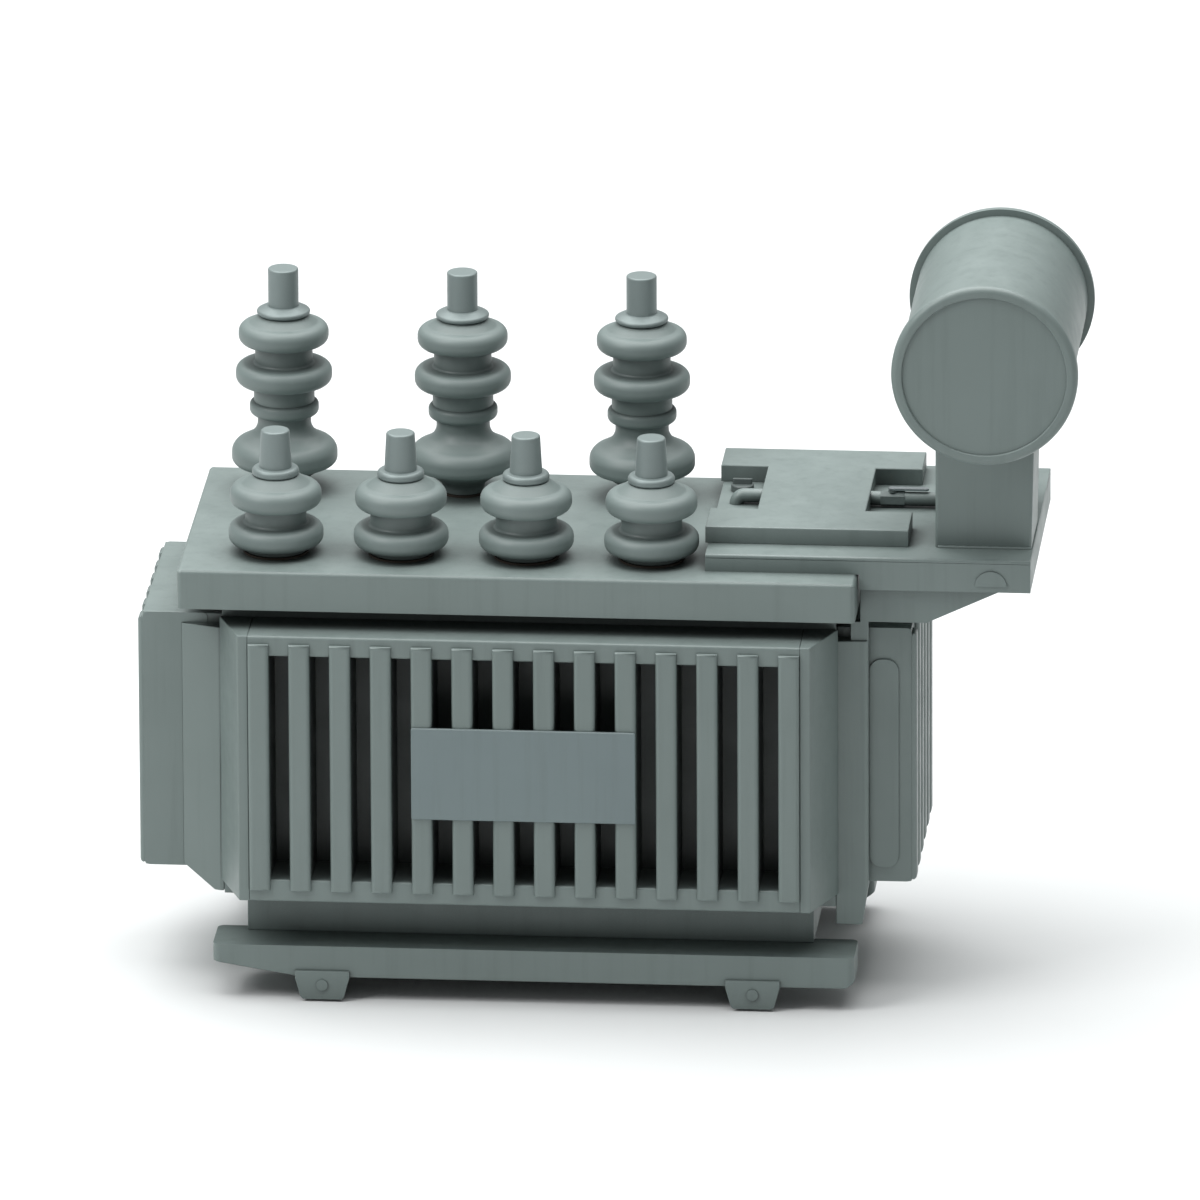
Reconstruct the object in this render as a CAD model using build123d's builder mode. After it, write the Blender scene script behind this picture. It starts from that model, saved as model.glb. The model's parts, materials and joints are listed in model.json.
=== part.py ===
from build123d import *
import os

# Oil-immersed three-phase distribution transformer with a conservator, on a skid base with rollers.
# X runs along the tank, Y from the low-voltage side (front) to the high-voltage side (rear), Z up.
# The origin is on the ground under the centre of the tank. Sizes are in millimetres.

os.makedirs("parts", exist_ok=True)

# ---------------------------------------------------------------- driving dimensions

# skid base and rollers
roller_gauge = 820           # roller centre to roller centre, along X
base_shift = 12              # the base sits towards the conservator, under the centre of mass
roller_shift = 20
skid_overhang = 28           # past the tank walls at each end
skid_spread = 79             # past the tank walls, front and rear
skid_width = 112
skid_bottom = 47
skid_height = 62
skid_wall = 7
skid_corner = 14
skid_bow_length = 165        # the left ends are cut up like a sledge
skid_bow_rise = 28
skid_stern_length = 18       # the right ends have a small corner cut
skid_stern_rise = 12
beam_width = 110
beam_wall = 6
cheek_thickness = 7
cheek_top_width = 104
cheek_foot_width = 80
cheek_ground_gap = 5
cheek_overlap = 14           # how far a cheek reaches up the skid's side
cheek_corner = 9
roller_radius = 34
roller_hub_radius = 21
roller_tread_width = 64
roller_edge = 3
axle_radius = 11
axle_overhang = 3
running_clearance = 0.05     # radial, roller bore on axle
side_clearance = 1.0

# plinth, tank and corner posts
plinth_inset_x = 43          # inside the tank walls
plinth_inset_y = 8
plinth_wall = 8
tank_length = 1166
tank_width = 486
tank_bottom = 185
tank_wall = 6
tank_floor = 8
rim_width = 58               # how far the tank's rim stands out from the long walls
rim_thickness = 10
post_width = 62
post_drop = 138              # below the top of the lid
post_bottom = 150
post_edge = 6
post_foot_cut_x = 12         # the posts' feet are cut off at a slant
post_foot_cut_z = 80
left_post_width = 80
left_post_bottom = 190
left_post_foot_cut_x = 60
left_post_foot_cut_z = 44
left_post_cut_x = 72
left_post_cut_y = 26

# lid
lid_overhang_x = 60          # past the tank walls
lid_overhang_y = 79
lid_top = 854
lid_skirt = 76
lid_plate = 14
lid_wall = 6
lid_shift = -18              # the lid overhangs the tank a little further on the left
lid_corner = 10
lid_edge = 4
rim_to_skirt = 8
gasket_thickness = 6
lid_bolt_radius = 6
lid_bolt_head = 19           # across flats
lid_bolt_head_height = 8
lid_bolt_pitch = 150
lid_bolt_bite = 10
bolt_hole_gap = 1

# radiator banks
fin_width = 40
fin_wall = 2
fin_proud = 10               # how far a fin's nose stands out from the headers
fin_nose_radius = 8
long_fin_count = 14
side_fin_count = 6
long_bank_reach = 129        # tank wall to fin nose, front and rear
side_bank_reach = 152        # tank end wall to fin nose, on the right
left_bank_reach = 164        # and on the left
header_drop = 114            # top of the headers below the top of the lid
long_bank_inset = 59.9       # first fin in from the tank's end wall
side_bank_inset = 29.5
side_header_drop = 4         # the side headers are a little lower than the long ones
slot_drop = 154
slot_bottom = 254
long_header_bottom = 211
side_header_bottom = 229
fin_lap_top = 25             # how far a nose reaches up over the header
fin_lap_bottom = 21
header_edge = 5
header_wall = 4
header_face = 6
end_plate_spread = 65        # how far an end plate leans out between the nose and the tank
bank_margin = 20

# nameplate, blank
nameplate_length = 426
nameplate_height = 182
nameplate_thickness = 5
nameplate_corner = 4
nameplate_edge = 1.5

# bushings
hv_count = 3
hv_end_gap = 156.5           # lid end or platform to the nearest bushing's axis
hv_row_inset = 122           # rear edge of the lid to the row
lv_count = 4
lv_left_gap = 177
lv_right_gap = 107
lv_row_inset = 136
bushing_gasket = 4
stud_radius = 14
stud_clearance = 0.5
hv_terminal_radius = 29
hv_terminal_height = 74
lv_terminal_radius = 31
lv_terminal_top_radius = 27
lv_terminal_height = 73
terminal_edge = 3
hv_body_height = 348         # lid to the top of the porcelain
lv_body_height = 152
top_face_radius = 45
hv_foot_radius = 42
lv_foot_radius = 62
shoulder_radius = 70
shoulder_sink = 3
# porcelain outlines, upwards from the lid: necks as low, high, radius; sheds as height, radius, thickness
hv_necks = [(4, 24, 40), (24, 163, 51), (163, 231, 58), (231, 311, 55)]
hv_sheds = [(73, 101, 42), (163, 66, 26), (231, 92, 42), (311, 86, 40)]
hv_skirt = [(20, 0), (20, 40), (54, 82), (92, 84), (118, 52), (118, 0)]
lv_necks = [(4, 37, 60), (37, 113, 58)]
lv_sheds = [(37, 90, 42), (113, 87, 42)]
# metal caps, upwards from the porcelain: rings as low, high, radius
hv_cap_rings = [(0, 11, 51), (9, 18, 44)]
lv_cap_rings = [(0, 16, 44.5)]
spigot_radius = 22
spigot_clearance = 1.0
lower_body_radius = 36
lower_body_height = 34
stud_nut_height = 12
stud_nut_flats = 40
stud_tail = 16

# platform, guard, pillar and conservator
platform_lap = 288           # how far the platform lies over the lid
platform_overhang = 328      # and how far it stands out past it
platform_front_inset = 66
platform_rear_inset = 2
platform_edge = 3
platform_height = 34         # thickness over the lid
platform_drop = 30           # the side beams are this much deeper past the lid
platform_plate_thickness = 8
beam_thickness = 10
lid_to_beam = 4
lug_inset = 75               # lifting pad on the front beam, in from its right end
lug_radius = 30
lug_rise = 12                # its straight foot above the beam's lower edge
lug_thickness = 3
gusset_thickness = 12
gusset_drop = 100            # its foot below the top of the lid
gusset_nose = 20             # past the end radiator before it turns up
gusset_right_inset = 48
stool_inset = 28             # the gusset's short leg on the corner post
guard_overhang = 5           # past the platform's left edge
guard_length = 385
guard_front_inset = 69
guard_rear_inset = 20
guard_height = 33
guard_sheet = 3
guard_edge = 3
guard_bay_left = 90          # depth of the two bays, from the guard's ends
guard_bay_right = 89
guard_bay_front_inset = 115
guard_hole_gap = 1
knob_to_bay = 52
pillar_width = 189
pillar_overhang = 4
pillar_front_inset = 72
pillar_depth = 176
pillar_edge = 5
pillar_wall = 6
pillar_taper = 7             # the foot is this much narrower at the right-hand side
drum_inset = 80              # axis in from the platform's right edge
drum_rise = 399              # axis above the platform
drum_reach = 115             # how far it stands out past the platform's front
drum_past_tank = 35          # how much longer it is than the tank is wide
drum_radius = 163
drum_wall = 5
cap_lap = 13                 # how far the caps stand out past the drum
cap_rim = 24
cap_plate = 6
cap_edge = 12
cap_dish_radius = 155        # hollow in the front cap
cap_dish_depth = 5
cap_dish_edge = 3

# oil pipe with its shut-off valve
pipe_radius = 13.5
pipe_bore = 11
pipe_from_rear = 90          # axis in from the drum's rear cap
pipe_from_guard = 40         # riser in from the guard's left end
pipe_height = 16             # axis above the platform
pipe_bend = 16
pipe_tail = 60               # how far it reaches below the lid
pipe_entry = 14              # how far it reaches into the drum
valve_from_guard = 47
valve_length = 46
valve_radius = 15
valve_bonnet_radius = 9
valve_bonnet_wall = 1
valve_stem_depth = 4
lever_gap = 1.5
lever_boss_share = 0.6
lever_length = 62
lever_width = 14
lever_thickness = 4
valve_stem_radius = 5

# oil gauge on the rear cap
gauge_radius = 52
gauge_depth = 26
gauge_height = 26            # above the drum's axis
gauge_wall = 4
gauge_edge = 1.5
glass_thickness = 3
glass_setback = 3
pin_radius = 1.5
pointer_length = 36
pointer_tip = 0.8
pointer_thickness = 2
pointer_gap = 6
spindle_radius = 4
float_arm_length = 92
float_arm_radius = 4
float_radius = 24
float_length = 70

# breather behind the pillar
breather_offset = 25         # to the right of the drum's axis
breather_from_rear = 42
breather_pipe_radius = 8
breather_pipe_wall = 2
breather_jar_radius = 34
breather_jar_wall = 3
breather_jar_height = 120
breather_jar_rise = 37       # bottom of the jar above the platform
gel_height = 96
gel_gap = 0.5
cup_edge = 6
breather_flange = 9
breather_lip = 4

# drain valve low on the tank's right end, under the radiator
drain_height = 20            # above the tank's bottom
drain_y = 120
drain_body_length = 50
drain_body_radius = 17
drain_outlet_x = 30          # outlet axis, out from the tank wall
drain_outlet_radius = 13
drain_outlet_wall = 3
drain_outlet_drop = 45
drain_bonnet_length = 17
drain_bonnet_radius = 12
drain_stem_radius = 5
drain_stem_length = 22
wheel_radius = 22
wheel_rim = 3.5
wheel_hub_radius = 8
wheel_thickness = 7
wheel_edge = 2.5
wheel_web_inset = 1.5
wheel_spokes = 4
wheel_spoke_width = 4

# off-circuit tap changer, its knob in the guard's left bay
tap_from_guard = 45
tap_from_pipe = 80
tap_shaft_radius = 7
tap_shaft_drop = 112         # its foot below the top of the lid
tap_hole_gap = 1
tap_rotor_radius = 20
tap_rotor_height = 40
tap_knob_radius = 22
tap_knob_height = 12
tap_grip_width = 8
tap_grip_height = 10
tap_grip_share = 0.85        # of the knob's diameter
tap_knob_edge = 3
tap_knob_gap = 1

# core and windings
phase_margin = 88            # outer coils in from the tank's end walls
phase_gap = 26               # between neighbouring coils
hv_coil_build = 36           # radial thickness of the windings
lv_coil_build = 28
coil_gap = 12                # oil duct between the two windings
core_gap = 6
yoke_height = 116
yoke_trim = 10               # the yokes are a little less deep than the limbs
yoke_rise = 29               # lower yoke above the tank's bottom
window_drop = 254            # top of the core window below the top of the lid
clamp_height = 90
clamp_thickness = 14
clamp_inset = 73
tie_rod_radius = 6
tie_rod_inset = 14

# ---------------------------------------------------------------- worked out from them

skid_length = tank_length + 2 * skid_overhang
skid_span = tank_width + 2 * skid_spread
skid_top = skid_bottom + skid_height
skid_y = (skid_span - skid_width) / 2
plinth_length = tank_length - 2 * plinth_inset_x
plinth_width = tank_width - 2 * plinth_inset_y
lid_length = tank_length + 2 * lid_overhang_x
lid_width = tank_width + 2 * lid_overhang_y
lid_bottom = lid_top - lid_skirt
plate_bottom = lid_top - lid_plate
rim_top = plate_bottom - gasket_thickness
rim_bottom = rim_top - rim_thickness
rim_length = lid_length - 2 * (lid_wall + rim_to_skirt)
tank_end = tank_length / 2
lid_left = lid_shift - lid_length / 2
lid_right = lid_shift + lid_length / 2
header_top = lid_top - header_drop
slot_top = lid_top - slot_drop
fin_top = slot_top + fin_lap_top
fin_bottom = slot_bottom - fin_lap_bottom
post_top = lid_top - post_drop
long_fin_pitch = (tank_length - 2 * long_bank_inset - fin_width) / (long_fin_count - 1)
side_fin_pitch = (tank_width - 2 * side_bank_inset - fin_width) / (side_fin_count - 1)
long_bank_half = tank_length / 2 - long_bank_inset
side_bank_half = tank_width / 2 - side_bank_inset
long_reach = long_bank_reach - fin_proud
side_reaches = {-1: left_bank_reach - fin_proud, 1: side_bank_reach - fin_proud}

platform_left = lid_right - platform_lap
platform_right = lid_right + platform_overhang
platform_front = -lid_width / 2 + platform_front_inset
platform_rear = lid_width / 2 - platform_rear_inset
platform_middle_y = (platform_front + platform_rear) / 2
platform_top = lid_top + platform_height
platform_under = platform_top - platform_plate_thickness
gusset_foot = lid_top - gusset_drop
gusset_right = platform_right - gusset_right_inset
guard_left = platform_left - guard_overhang
guard_right = guard_left + guard_length
guard_front = platform_front + guard_front_inset
guard_rear = platform_rear - guard_rear_inset
guard_web_left = guard_left + guard_bay_left
guard_web_right = guard_right - guard_bay_right
pillar_right = platform_right + pillar_overhang
pillar_left = pillar_right - pillar_width
pillar_front = platform_front + pillar_front_inset
hv_cap_height = hv_cap_rings[-1][1]
lv_cap_height = lv_cap_rings[-1][1]
drum_centre_x = platform_right - drum_inset
drum_length = tank_width + drum_past_tank
drum_front = platform_front - drum_reach
drum_rear = drum_front + drum_length
drum_centre_y = (drum_front + drum_rear) / 2
drum_centre_z = platform_top + drum_rise
cap_radius = drum_radius + cap_lap
gauge_z = drum_centre_z + gauge_height
breather_x = drum_centre_x + breather_offset
breather_y = drum_rear - breather_from_rear
breather_jar_bottom = platform_top + breather_jar_rise
pipe_y = drum_rear - pipe_from_rear
pipe_left = guard_left + pipe_from_guard
pipe_z = platform_top + pipe_height
valve_centre_x = guard_right - valve_from_guard
tap_x = guard_left + tap_from_guard
tap_y = pipe_y + tap_from_pipe
tap_shaft_bottom = lid_top - tap_shaft_drop
guard_bay_front = guard_front + guard_bay_front_inset
guard_bay_rear = tap_y + knob_to_bay
drain_z = tank_bottom + drain_height
drain_outlet_bottom = drain_z - drain_outlet_drop

bushing_bore = stud_radius + stud_clearance
hv_row_y = lid_width / 2 - hv_row_inset
lv_row_y = -lid_width / 2 + lv_row_inset
hv_first = lid_left + hv_end_gap
hv_pitch = (platform_left - hv_end_gap - hv_first) / (hv_count - 1)
lv_first = lid_left + lv_left_gap
lv_pitch = (platform_left - lv_right_gap - lv_first) / (lv_count - 1)
hv_xs = [hv_first + i * hv_pitch for i in range(hv_count)]
lv_xs = [lv_first + i * lv_pitch for i in range(lv_count)]
bushings = [(x, hv_row_y) for x in hv_xs] + [(x, lv_row_y) for x in lv_xs]
roller_xs = [roller_shift - roller_gauge / 2, roller_shift + roller_gauge / 2]

limb_pitch = (tank_length - 2 * phase_margin) / 3
hv_coil_outer = (limb_pitch - phase_gap) / 2
hv_coil_inner = hv_coil_outer - hv_coil_build
lv_coil_outer = hv_coil_inner - coil_gap
lv_coil_inner = lv_coil_outer - lv_coil_build
limb_radius = lv_coil_inner - core_gap
limb_xs = [-limb_pitch, 0, limb_pitch]
yoke_depth = 2 * limb_radius - yoke_trim
window_bottom = tank_bottom + yoke_rise + yoke_height
window_top = lid_top - window_drop
clamp_length = tank_length - 2 * clamp_inset


def save(piece, label):
    piece.part.label = label
    export_step(piece.part, f"parts/{label}.step")


def upright(x, y, z):
    """A sketch plane facing the front, with its origin on a vertical axis."""
    return Plane(origin=(x, y, z), x_dir=(1, 0, 0), z_dir=(0, -1, 0))


def vertical(x, y):
    return Axis((x, y, 0), (0, 0, 1))


# ---------------------------------------------------------------- base


def skid_side():
    """Side outline of a skid, left end cut up like a sledge."""
    left = base_shift - skid_length / 2
    right = base_shift + skid_length / 2
    Polygon(
        (left, skid_top),
        (left, skid_bottom + skid_bow_rise),
        (left + skid_bow_length, skid_bottom),
        (right - skid_stern_length, skid_bottom),
        (right, skid_bottom + skid_stern_rise),
        (right, skid_top),
        align=None,
    )


def make_skids():
    with BuildPart() as skids:
        for side in (-1, 1):
            with BuildSketch(Plane.XZ.offset(-side * skid_y)):
                skid_side()
            extrude(amount=skid_width / 2, both=True)
        fillet(skids.edges().filter_by(Axis.Z), skid_corner)
        # hollow from below: the rollers turn inside the channel
        for side in (-1, 1):
            with BuildSketch(Plane.XY.offset(skid_bottom - 1)):
                with Locations((base_shift, side * skid_y)):
                    Rectangle(skid_length - 2 * skid_wall, skid_width - 2 * skid_wall)
            extrude(amount=skid_height + 1 - skid_wall, mode=Mode.SUBTRACT)
    save(skids, "skids")


def make_cross_beams():
    inner = skid_y - skid_width / 2
    with BuildPart() as cross_beams:
        with BuildSketch(Plane.XZ):
            with Locations(*[(x, skid_bottom + skid_height / 2) for x in roller_xs]):
                Rectangle(beam_width, skid_height)
                Rectangle(beam_width - 2 * beam_wall, skid_height - 2 * beam_wall, mode=Mode.SUBTRACT)
        extrude(amount=inner, both=True)
    save(cross_beams, "cross_beams")


def cheek_planes():
    """The Y positions where the cheeks start: one on each side of each skid."""
    faces = []
    for side in (-1, 1):
        faces.append(side * skid_y - skid_width / 2 - cheek_thickness)
        faces.append(side * skid_y + skid_width / 2)
    return faces


def make_roller_cheeks():
    top = skid_bottom + cheek_overlap
    with BuildPart() as roller_cheeks:
        for y in cheek_planes():
            for x in roller_xs:
                with BuildSketch(Plane.XZ.offset(-y - cheek_thickness)) as outline:
                    Polygon(
                        (x - cheek_top_width / 2, top),
                        (x - cheek_top_width / 2, skid_bottom),
                        (x - cheek_foot_width / 2, cheek_ground_gap),
                        (x + cheek_foot_width / 2, cheek_ground_gap),
                        (x + cheek_top_width / 2, skid_bottom),
                        (x + cheek_top_width / 2, top),
                        align=None,
                    )
                    fillet(outline.vertices().group_by(Axis.Y)[0], cheek_corner)
                    with Locations((x, roller_radius)):
                        Circle(axle_radius, mode=Mode.SUBTRACT)
                    near_beam = abs(y) < skid_y
                    if near_beam:
                        with Locations((x, skid_bottom + skid_height / 2)):
                            Rectangle(beam_width, skid_height, mode=Mode.SUBTRACT)
                extrude(amount=cheek_thickness)
    save(roller_cheeks, "roller_cheeks")


def make_roller_axles():
    reach = skid_width / 2 + cheek_thickness + axle_overhang
    with BuildPart() as roller_axles:
        for side in (-1, 1):
            with BuildSketch(Plane.XZ.offset(-side * skid_y)):
                with Locations(*[(x, roller_radius) for x in roller_xs]):
                    Circle(axle_radius)
            extrude(amount=reach, both=True)
    save(roller_axles, "roller_axles")


def make_rollers():
    hub_half = skid_width / 2 - side_clearance
    inside_half = skid_width / 2 - skid_wall - side_clearance
    names = {(-1, 0): "roller_front_left", (-1, 1): "roller_front_right"}
    names |= {(1, 0): "roller_rear_left", (1, 1): "roller_rear_right"}
    for (side, index), label in names.items():
        x = roller_xs[index]
        y = side * skid_y
        with BuildPart() as roller:
            with BuildSketch(Plane.XZ.offset(-y)):
                with Locations((x, roller_radius)):
                    Circle(roller_radius)
            extrude(amount=roller_tread_width / 2, both=True)
            fillet(roller.edges().filter_by(GeomType.CIRCLE), roller_edge)
            with BuildSketch(Plane.XZ.offset(-y)):
                with Locations((x, roller_radius)):
                    Circle(roller_hub_radius)
            extrude(amount=inside_half, both=True)
            with BuildSketch(Plane.XZ.offset(-y)):
                with Locations((x, roller_radius)):
                    Circle(axle_radius + running_clearance)
            extrude(amount=hub_half, both=True, mode=Mode.SUBTRACT)
        save(roller, label)


# ---------------------------------------------------------------- tank


def make_plinth():
    half_x = plinth_length / 2 - plinth_wall / 2
    half_y = plinth_width / 2 - plinth_wall / 2
    with BuildPart() as plinth:
        with BuildSketch(Plane.XY.offset(skid_top)):
            with Locations((0, -half_y), (0, half_y)):
                Rectangle(plinth_length, plinth_wall)
            with Locations((-half_x, 0), (half_x, 0)):
                Rectangle(plinth_wall, plinth_width - 2 * plinth_wall)
        extrude(amount=tank_bottom - skid_top)
    save(plinth, "plinth")


def make_tank():
    with BuildPart() as tank:
        with BuildSketch(Plane.XY.offset(tank_bottom)):
            Rectangle(tank_length, tank_width)
        extrude(amount=rim_top - tank_bottom)
        with BuildSketch(Plane.XY.offset(rim_bottom)):
            with Locations((lid_shift, 0)):
                Rectangle(rim_length, tank_width + 2 * rim_width)
        extrude(amount=rim_thickness)
        with BuildSketch(Plane.XY.offset(tank_bottom + tank_floor)):
            Rectangle(tank_length - 2 * tank_wall, tank_width - 2 * tank_wall)
        extrude(amount=rim_top - tank_bottom, mode=Mode.SUBTRACT)
        with BuildSketch(Plane.XY.offset(rim_bottom)):
            with Locations(*lid_bolt_points()):
                Circle(lid_bolt_radius + bolt_hole_gap)
        extrude(amount=rim_thickness, mode=Mode.SUBTRACT)
        # drain outlet at the foot of the right end
        with BuildSketch(Plane.YZ.offset(tank_end - tank_wall)):
            with Locations((drain_y, drain_z)):
                Circle(pipe_bore)
        extrude(amount=tank_wall, mode=Mode.SUBTRACT)
    save(tank, "tank")


def lid_bolt_points():
    """Bolts round the rim, on its two long sides and between the long walls at each end."""
    row_y = tank_width / 2 + rim_width / 2
    count = int(lid_length / lid_bolt_pitch) - 1
    xs = [lid_shift + (i - (count - 1) / 2) * lid_bolt_pitch for i in range(count)]
    return [(x, side * row_y) for side in (-1, 1) for x in xs]


def make_corner_posts():
    with BuildPart() as corner_posts:
        for side in (-1, 1):
            for end in (-1, 1):
                left = end < 0
                corner_x = end * (tank_end + (left_post_width if left else post_width))
                corner_y = side * tank_width / 2
                cut_x = left_post_cut_x if left else post_edge
                cut_y = left_post_cut_y if left else post_edge
                bottom = left_post_bottom if left else post_bottom
                with BuildSketch(Plane.XY.offset(bottom)):
                    Polygon(
                        (end * tank_end, corner_y),
                        (corner_x - end * cut_x, corner_y),
                        (corner_x, corner_y - side * cut_y),
                        (corner_x, corner_y - side * side_bank_inset),
                        (end * tank_end, corner_y - side * side_bank_inset),
                        align=None,
                    )
                extrude(amount=post_top - bottom)
        right_foot = (tank_end + post_width, post_bottom, post_foot_cut_x, post_foot_cut_z)
        left_foot = (tank_end + left_post_width, left_post_bottom, left_post_foot_cut_x, left_post_foot_cut_z)
        for end, (foot_x, bottom, cut_x, cut_z) in ((1, right_foot), (-1, left_foot)):
            with BuildSketch(Plane.XZ):
                Polygon(
                    (end * foot_x, bottom),
                    (end * foot_x, bottom + cut_z),
                    (end * (foot_x - cut_x), bottom),
                    align=None,
                )
            extrude(amount=tank_width / 2, both=True, mode=Mode.SUBTRACT)
    save(corner_posts, "corner_posts")


def make_lid():
    with BuildPart() as lid:
        with BuildSketch(Plane.XY.offset(lid_bottom)):
            with Locations((lid_shift, 0)):
                RectangleRounded(lid_length, lid_width, lid_corner)
        extrude(amount=lid_skirt)
        chamfer(lid.faces().sort_by(Axis.Z)[-1].edges(), lid_edge)
        with BuildSketch(Plane.XY.offset(lid_bottom)):
            with Locations((lid_shift, 0)):
                Rectangle(lid_length - 2 * lid_wall, lid_width - 2 * lid_wall)
        extrude(amount=lid_skirt - lid_plate, mode=Mode.SUBTRACT)
        with BuildSketch(Plane.XY.offset(plate_bottom)):
            with Locations(*bushings):
                Circle(spigot_radius + spigot_clearance)
            with Locations((pipe_left, pipe_y)):
                Circle(pipe_radius)
            with Locations((tap_x, tap_y)):
                Circle(tap_shaft_radius + running_clearance)
        extrude(amount=lid_plate, mode=Mode.SUBTRACT)
        with BuildSketch(Plane.XY.offset(plate_bottom)):
            with Locations(*lid_bolt_points()):
                Circle(lid_bolt_radius)
        extrude(amount=lid_bolt_bite, mode=Mode.SUBTRACT)
    save(lid, "lid")


def make_lid_gasket():
    with BuildPart() as lid_gasket:
        with BuildSketch(Plane.XY.offset(rim_top)):
            with Locations((lid_shift, 0)):
                Rectangle(rim_length, tank_width + 2 * rim_width)
            Rectangle(tank_length - 2 * tank_wall, tank_width - 2 * tank_wall, mode=Mode.SUBTRACT)
            with Locations(*lid_bolt_points()):
                Circle(lid_bolt_radius + bolt_hole_gap, mode=Mode.SUBTRACT)
        extrude(amount=gasket_thickness)
    save(lid_gasket, "lid_gasket")


def make_lid_bolts():
    with BuildPart() as lid_bolts:
        with BuildSketch(Plane.XY.offset(rim_bottom - lid_bolt_head_height)):
            with Locations(*lid_bolt_points()):
                RegularPolygon(lid_bolt_head / 2, 6, major_radius=False)
        extrude(amount=lid_bolt_head_height)
        with BuildSketch(Plane.XY.offset(rim_bottom)):
            with Locations(*lid_bolt_points()):
                Circle(lid_bolt_radius)
        extrude(amount=rim_thickness + gasket_thickness + lid_bolt_bite)
    save(lid_bolts, "lid_bolts")


# ---------------------------------------------------------------- radiator banks


def fin_offsets(count, pitch):
    return [(i - (count - 1) / 2) * pitch for i in range(count)]


def make_fins(walls, offsets, nose_axis, label):
    """Fins on two opposite walls: hollow webs open to the tank, with rounded noses longer than the webs.

    walls gives, for each wall, its plane, its distance from the middle, its side and the webs' reach.
    """
    slot_middle = (slot_top + slot_bottom) / 2
    slot_height = slot_top - slot_bottom
    fin_middle = (fin_top + fin_bottom) / 2
    with BuildPart() as fins:
        for plane, wall, side, reach in walls:
            with BuildSketch(plane.offset(side * wall)):
                with Locations(*[(o, slot_middle) for o in offsets]):
                    Rectangle(fin_width, slot_height)
            extrude(amount=side * reach)
            with BuildSketch(plane.offset(side * (wall + reach))):
                with Locations(*[(o, fin_middle) for o in offsets]):
                    Rectangle(fin_width, fin_top - fin_bottom)
            extrude(amount=side * fin_proud)
        outward = fins.faces().sort_by(nose_axis)
        fillet(outward[: len(offsets)].edges(), fin_nose_radius)
        outward = fins.faces().sort_by(nose_axis)
        fillet(outward[-len(offsets) :].edges(), fin_nose_radius)
        for plane, wall, side, reach in walls:
            with BuildSketch(plane.offset(side * wall)):
                with Locations(*[(o, slot_middle) for o in offsets]):
                    Rectangle(fin_width - 2 * fin_wall, slot_height - 2 * fin_wall)
            extrude(amount=side * reach, mode=Mode.SUBTRACT)
    save(fins, label)


def make_long_fins():
    # XZ faces the front, so its positive side is the front
    walls = [(Plane.XZ, tank_width / 2, side, long_reach) for side in (-1, 1)]
    make_fins(walls, fin_offsets(long_fin_count, long_fin_pitch), Axis.Y, "long_fins")


def make_side_fins():
    walls = [(Plane.YZ, tank_end, side, side_reaches[side]) for side in (-1, 1)]
    make_fins(walls, fin_offsets(side_fin_count, side_fin_pitch), Axis.X, "side_fins")


def make_long_headers():
    """Top and bottom header boxes, front and rear, open to the tank wall."""
    levels = ((slot_top, header_top), (long_header_bottom, slot_bottom))
    with BuildPart() as long_headers:
        for side in (-1, 1):
            for low, high in levels:
                with BuildSketch(Plane.XY.offset(low)):
                    with Locations((0, side * (tank_width / 2 + long_reach / 2))):
                        Rectangle(2 * long_bank_half, long_reach)
                extrude(amount=high - low)
        outer = long_headers.faces().filter_by(Axis.Y)
        outer = outer.sort_by(Axis.Y)[:2] + outer.sort_by(Axis.Y)[-2:]
        fillet(outer.edges().filter_by(Axis.X), header_edge)
        inside_reach = long_reach - header_face
        for side in (-1, 1):
            for low, high in levels:
                with BuildSketch(Plane.XY.offset(low + header_wall)):
                    with Locations((0, side * (tank_width / 2 + inside_reach / 2))):
                        Rectangle(2 * (long_bank_half - header_wall), inside_reach)
                extrude(amount=high - low - 2 * header_wall, mode=Mode.SUBTRACT)
    save(long_headers, "long_headers")


def make_radiator_end_plates():
    """Leaning side plates that close the ends of the two long banks."""
    with BuildPart() as radiator_end_plates:
        for side in (-1, 1):
            for end in (-1, 1):
                near_y = side * tank_width / 2
                far_y = side * (tank_width / 2 + long_reach)
                with BuildSketch(Plane.XY.offset(long_header_bottom)):
                    Polygon(
                        (end * long_bank_half, near_y),
                        (end * (long_bank_half + end_plate_spread), near_y),
                        (end * (long_bank_half + bank_margin), far_y),
                        (end * long_bank_half, far_y),
                        align=None,
                    )
                extrude(amount=header_top - long_header_bottom)
    save(radiator_end_plates, "radiator_end_plates")


def make_side_headers():
    levels = ((slot_top, header_top - side_header_drop), (side_header_bottom, slot_bottom))
    with BuildPart() as side_headers:
        for end, reach in side_reaches.items():
            for low, high in levels:
                with BuildSketch(Plane.XY.offset(low)):
                    with Locations((end * (tank_end + reach / 2), 0)):
                        Rectangle(reach, 2 * side_bank_half)
                extrude(amount=high - low)
        for end, reach in side_reaches.items():
            inside_reach = reach - header_face
            for low, high in levels:
                with BuildSketch(Plane.XY.offset(low + header_wall)):
                    with Locations((end * (tank_end + inside_reach / 2), 0)):
                        Rectangle(inside_reach, 2 * (side_bank_half - header_wall))
                extrude(amount=high - low - 2 * header_wall, mode=Mode.SUBTRACT)
    save(side_headers, "side_headers")


def make_nameplate():
    front = tank_width / 2 + long_bank_reach
    with BuildPart() as nameplate:
        with BuildSketch(Plane.XZ.offset(front)):
            with Locations((0, (slot_top + slot_bottom) / 2)):
                RectangleRounded(nameplate_length, nameplate_height, nameplate_corner)
        extrude(amount=nameplate_thickness)
        chamfer(nameplate.faces().sort_by(Axis.Y)[0].edges(), nameplate_edge)
    save(nameplate, "nameplate")


# ---------------------------------------------------------------- bushings


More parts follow.
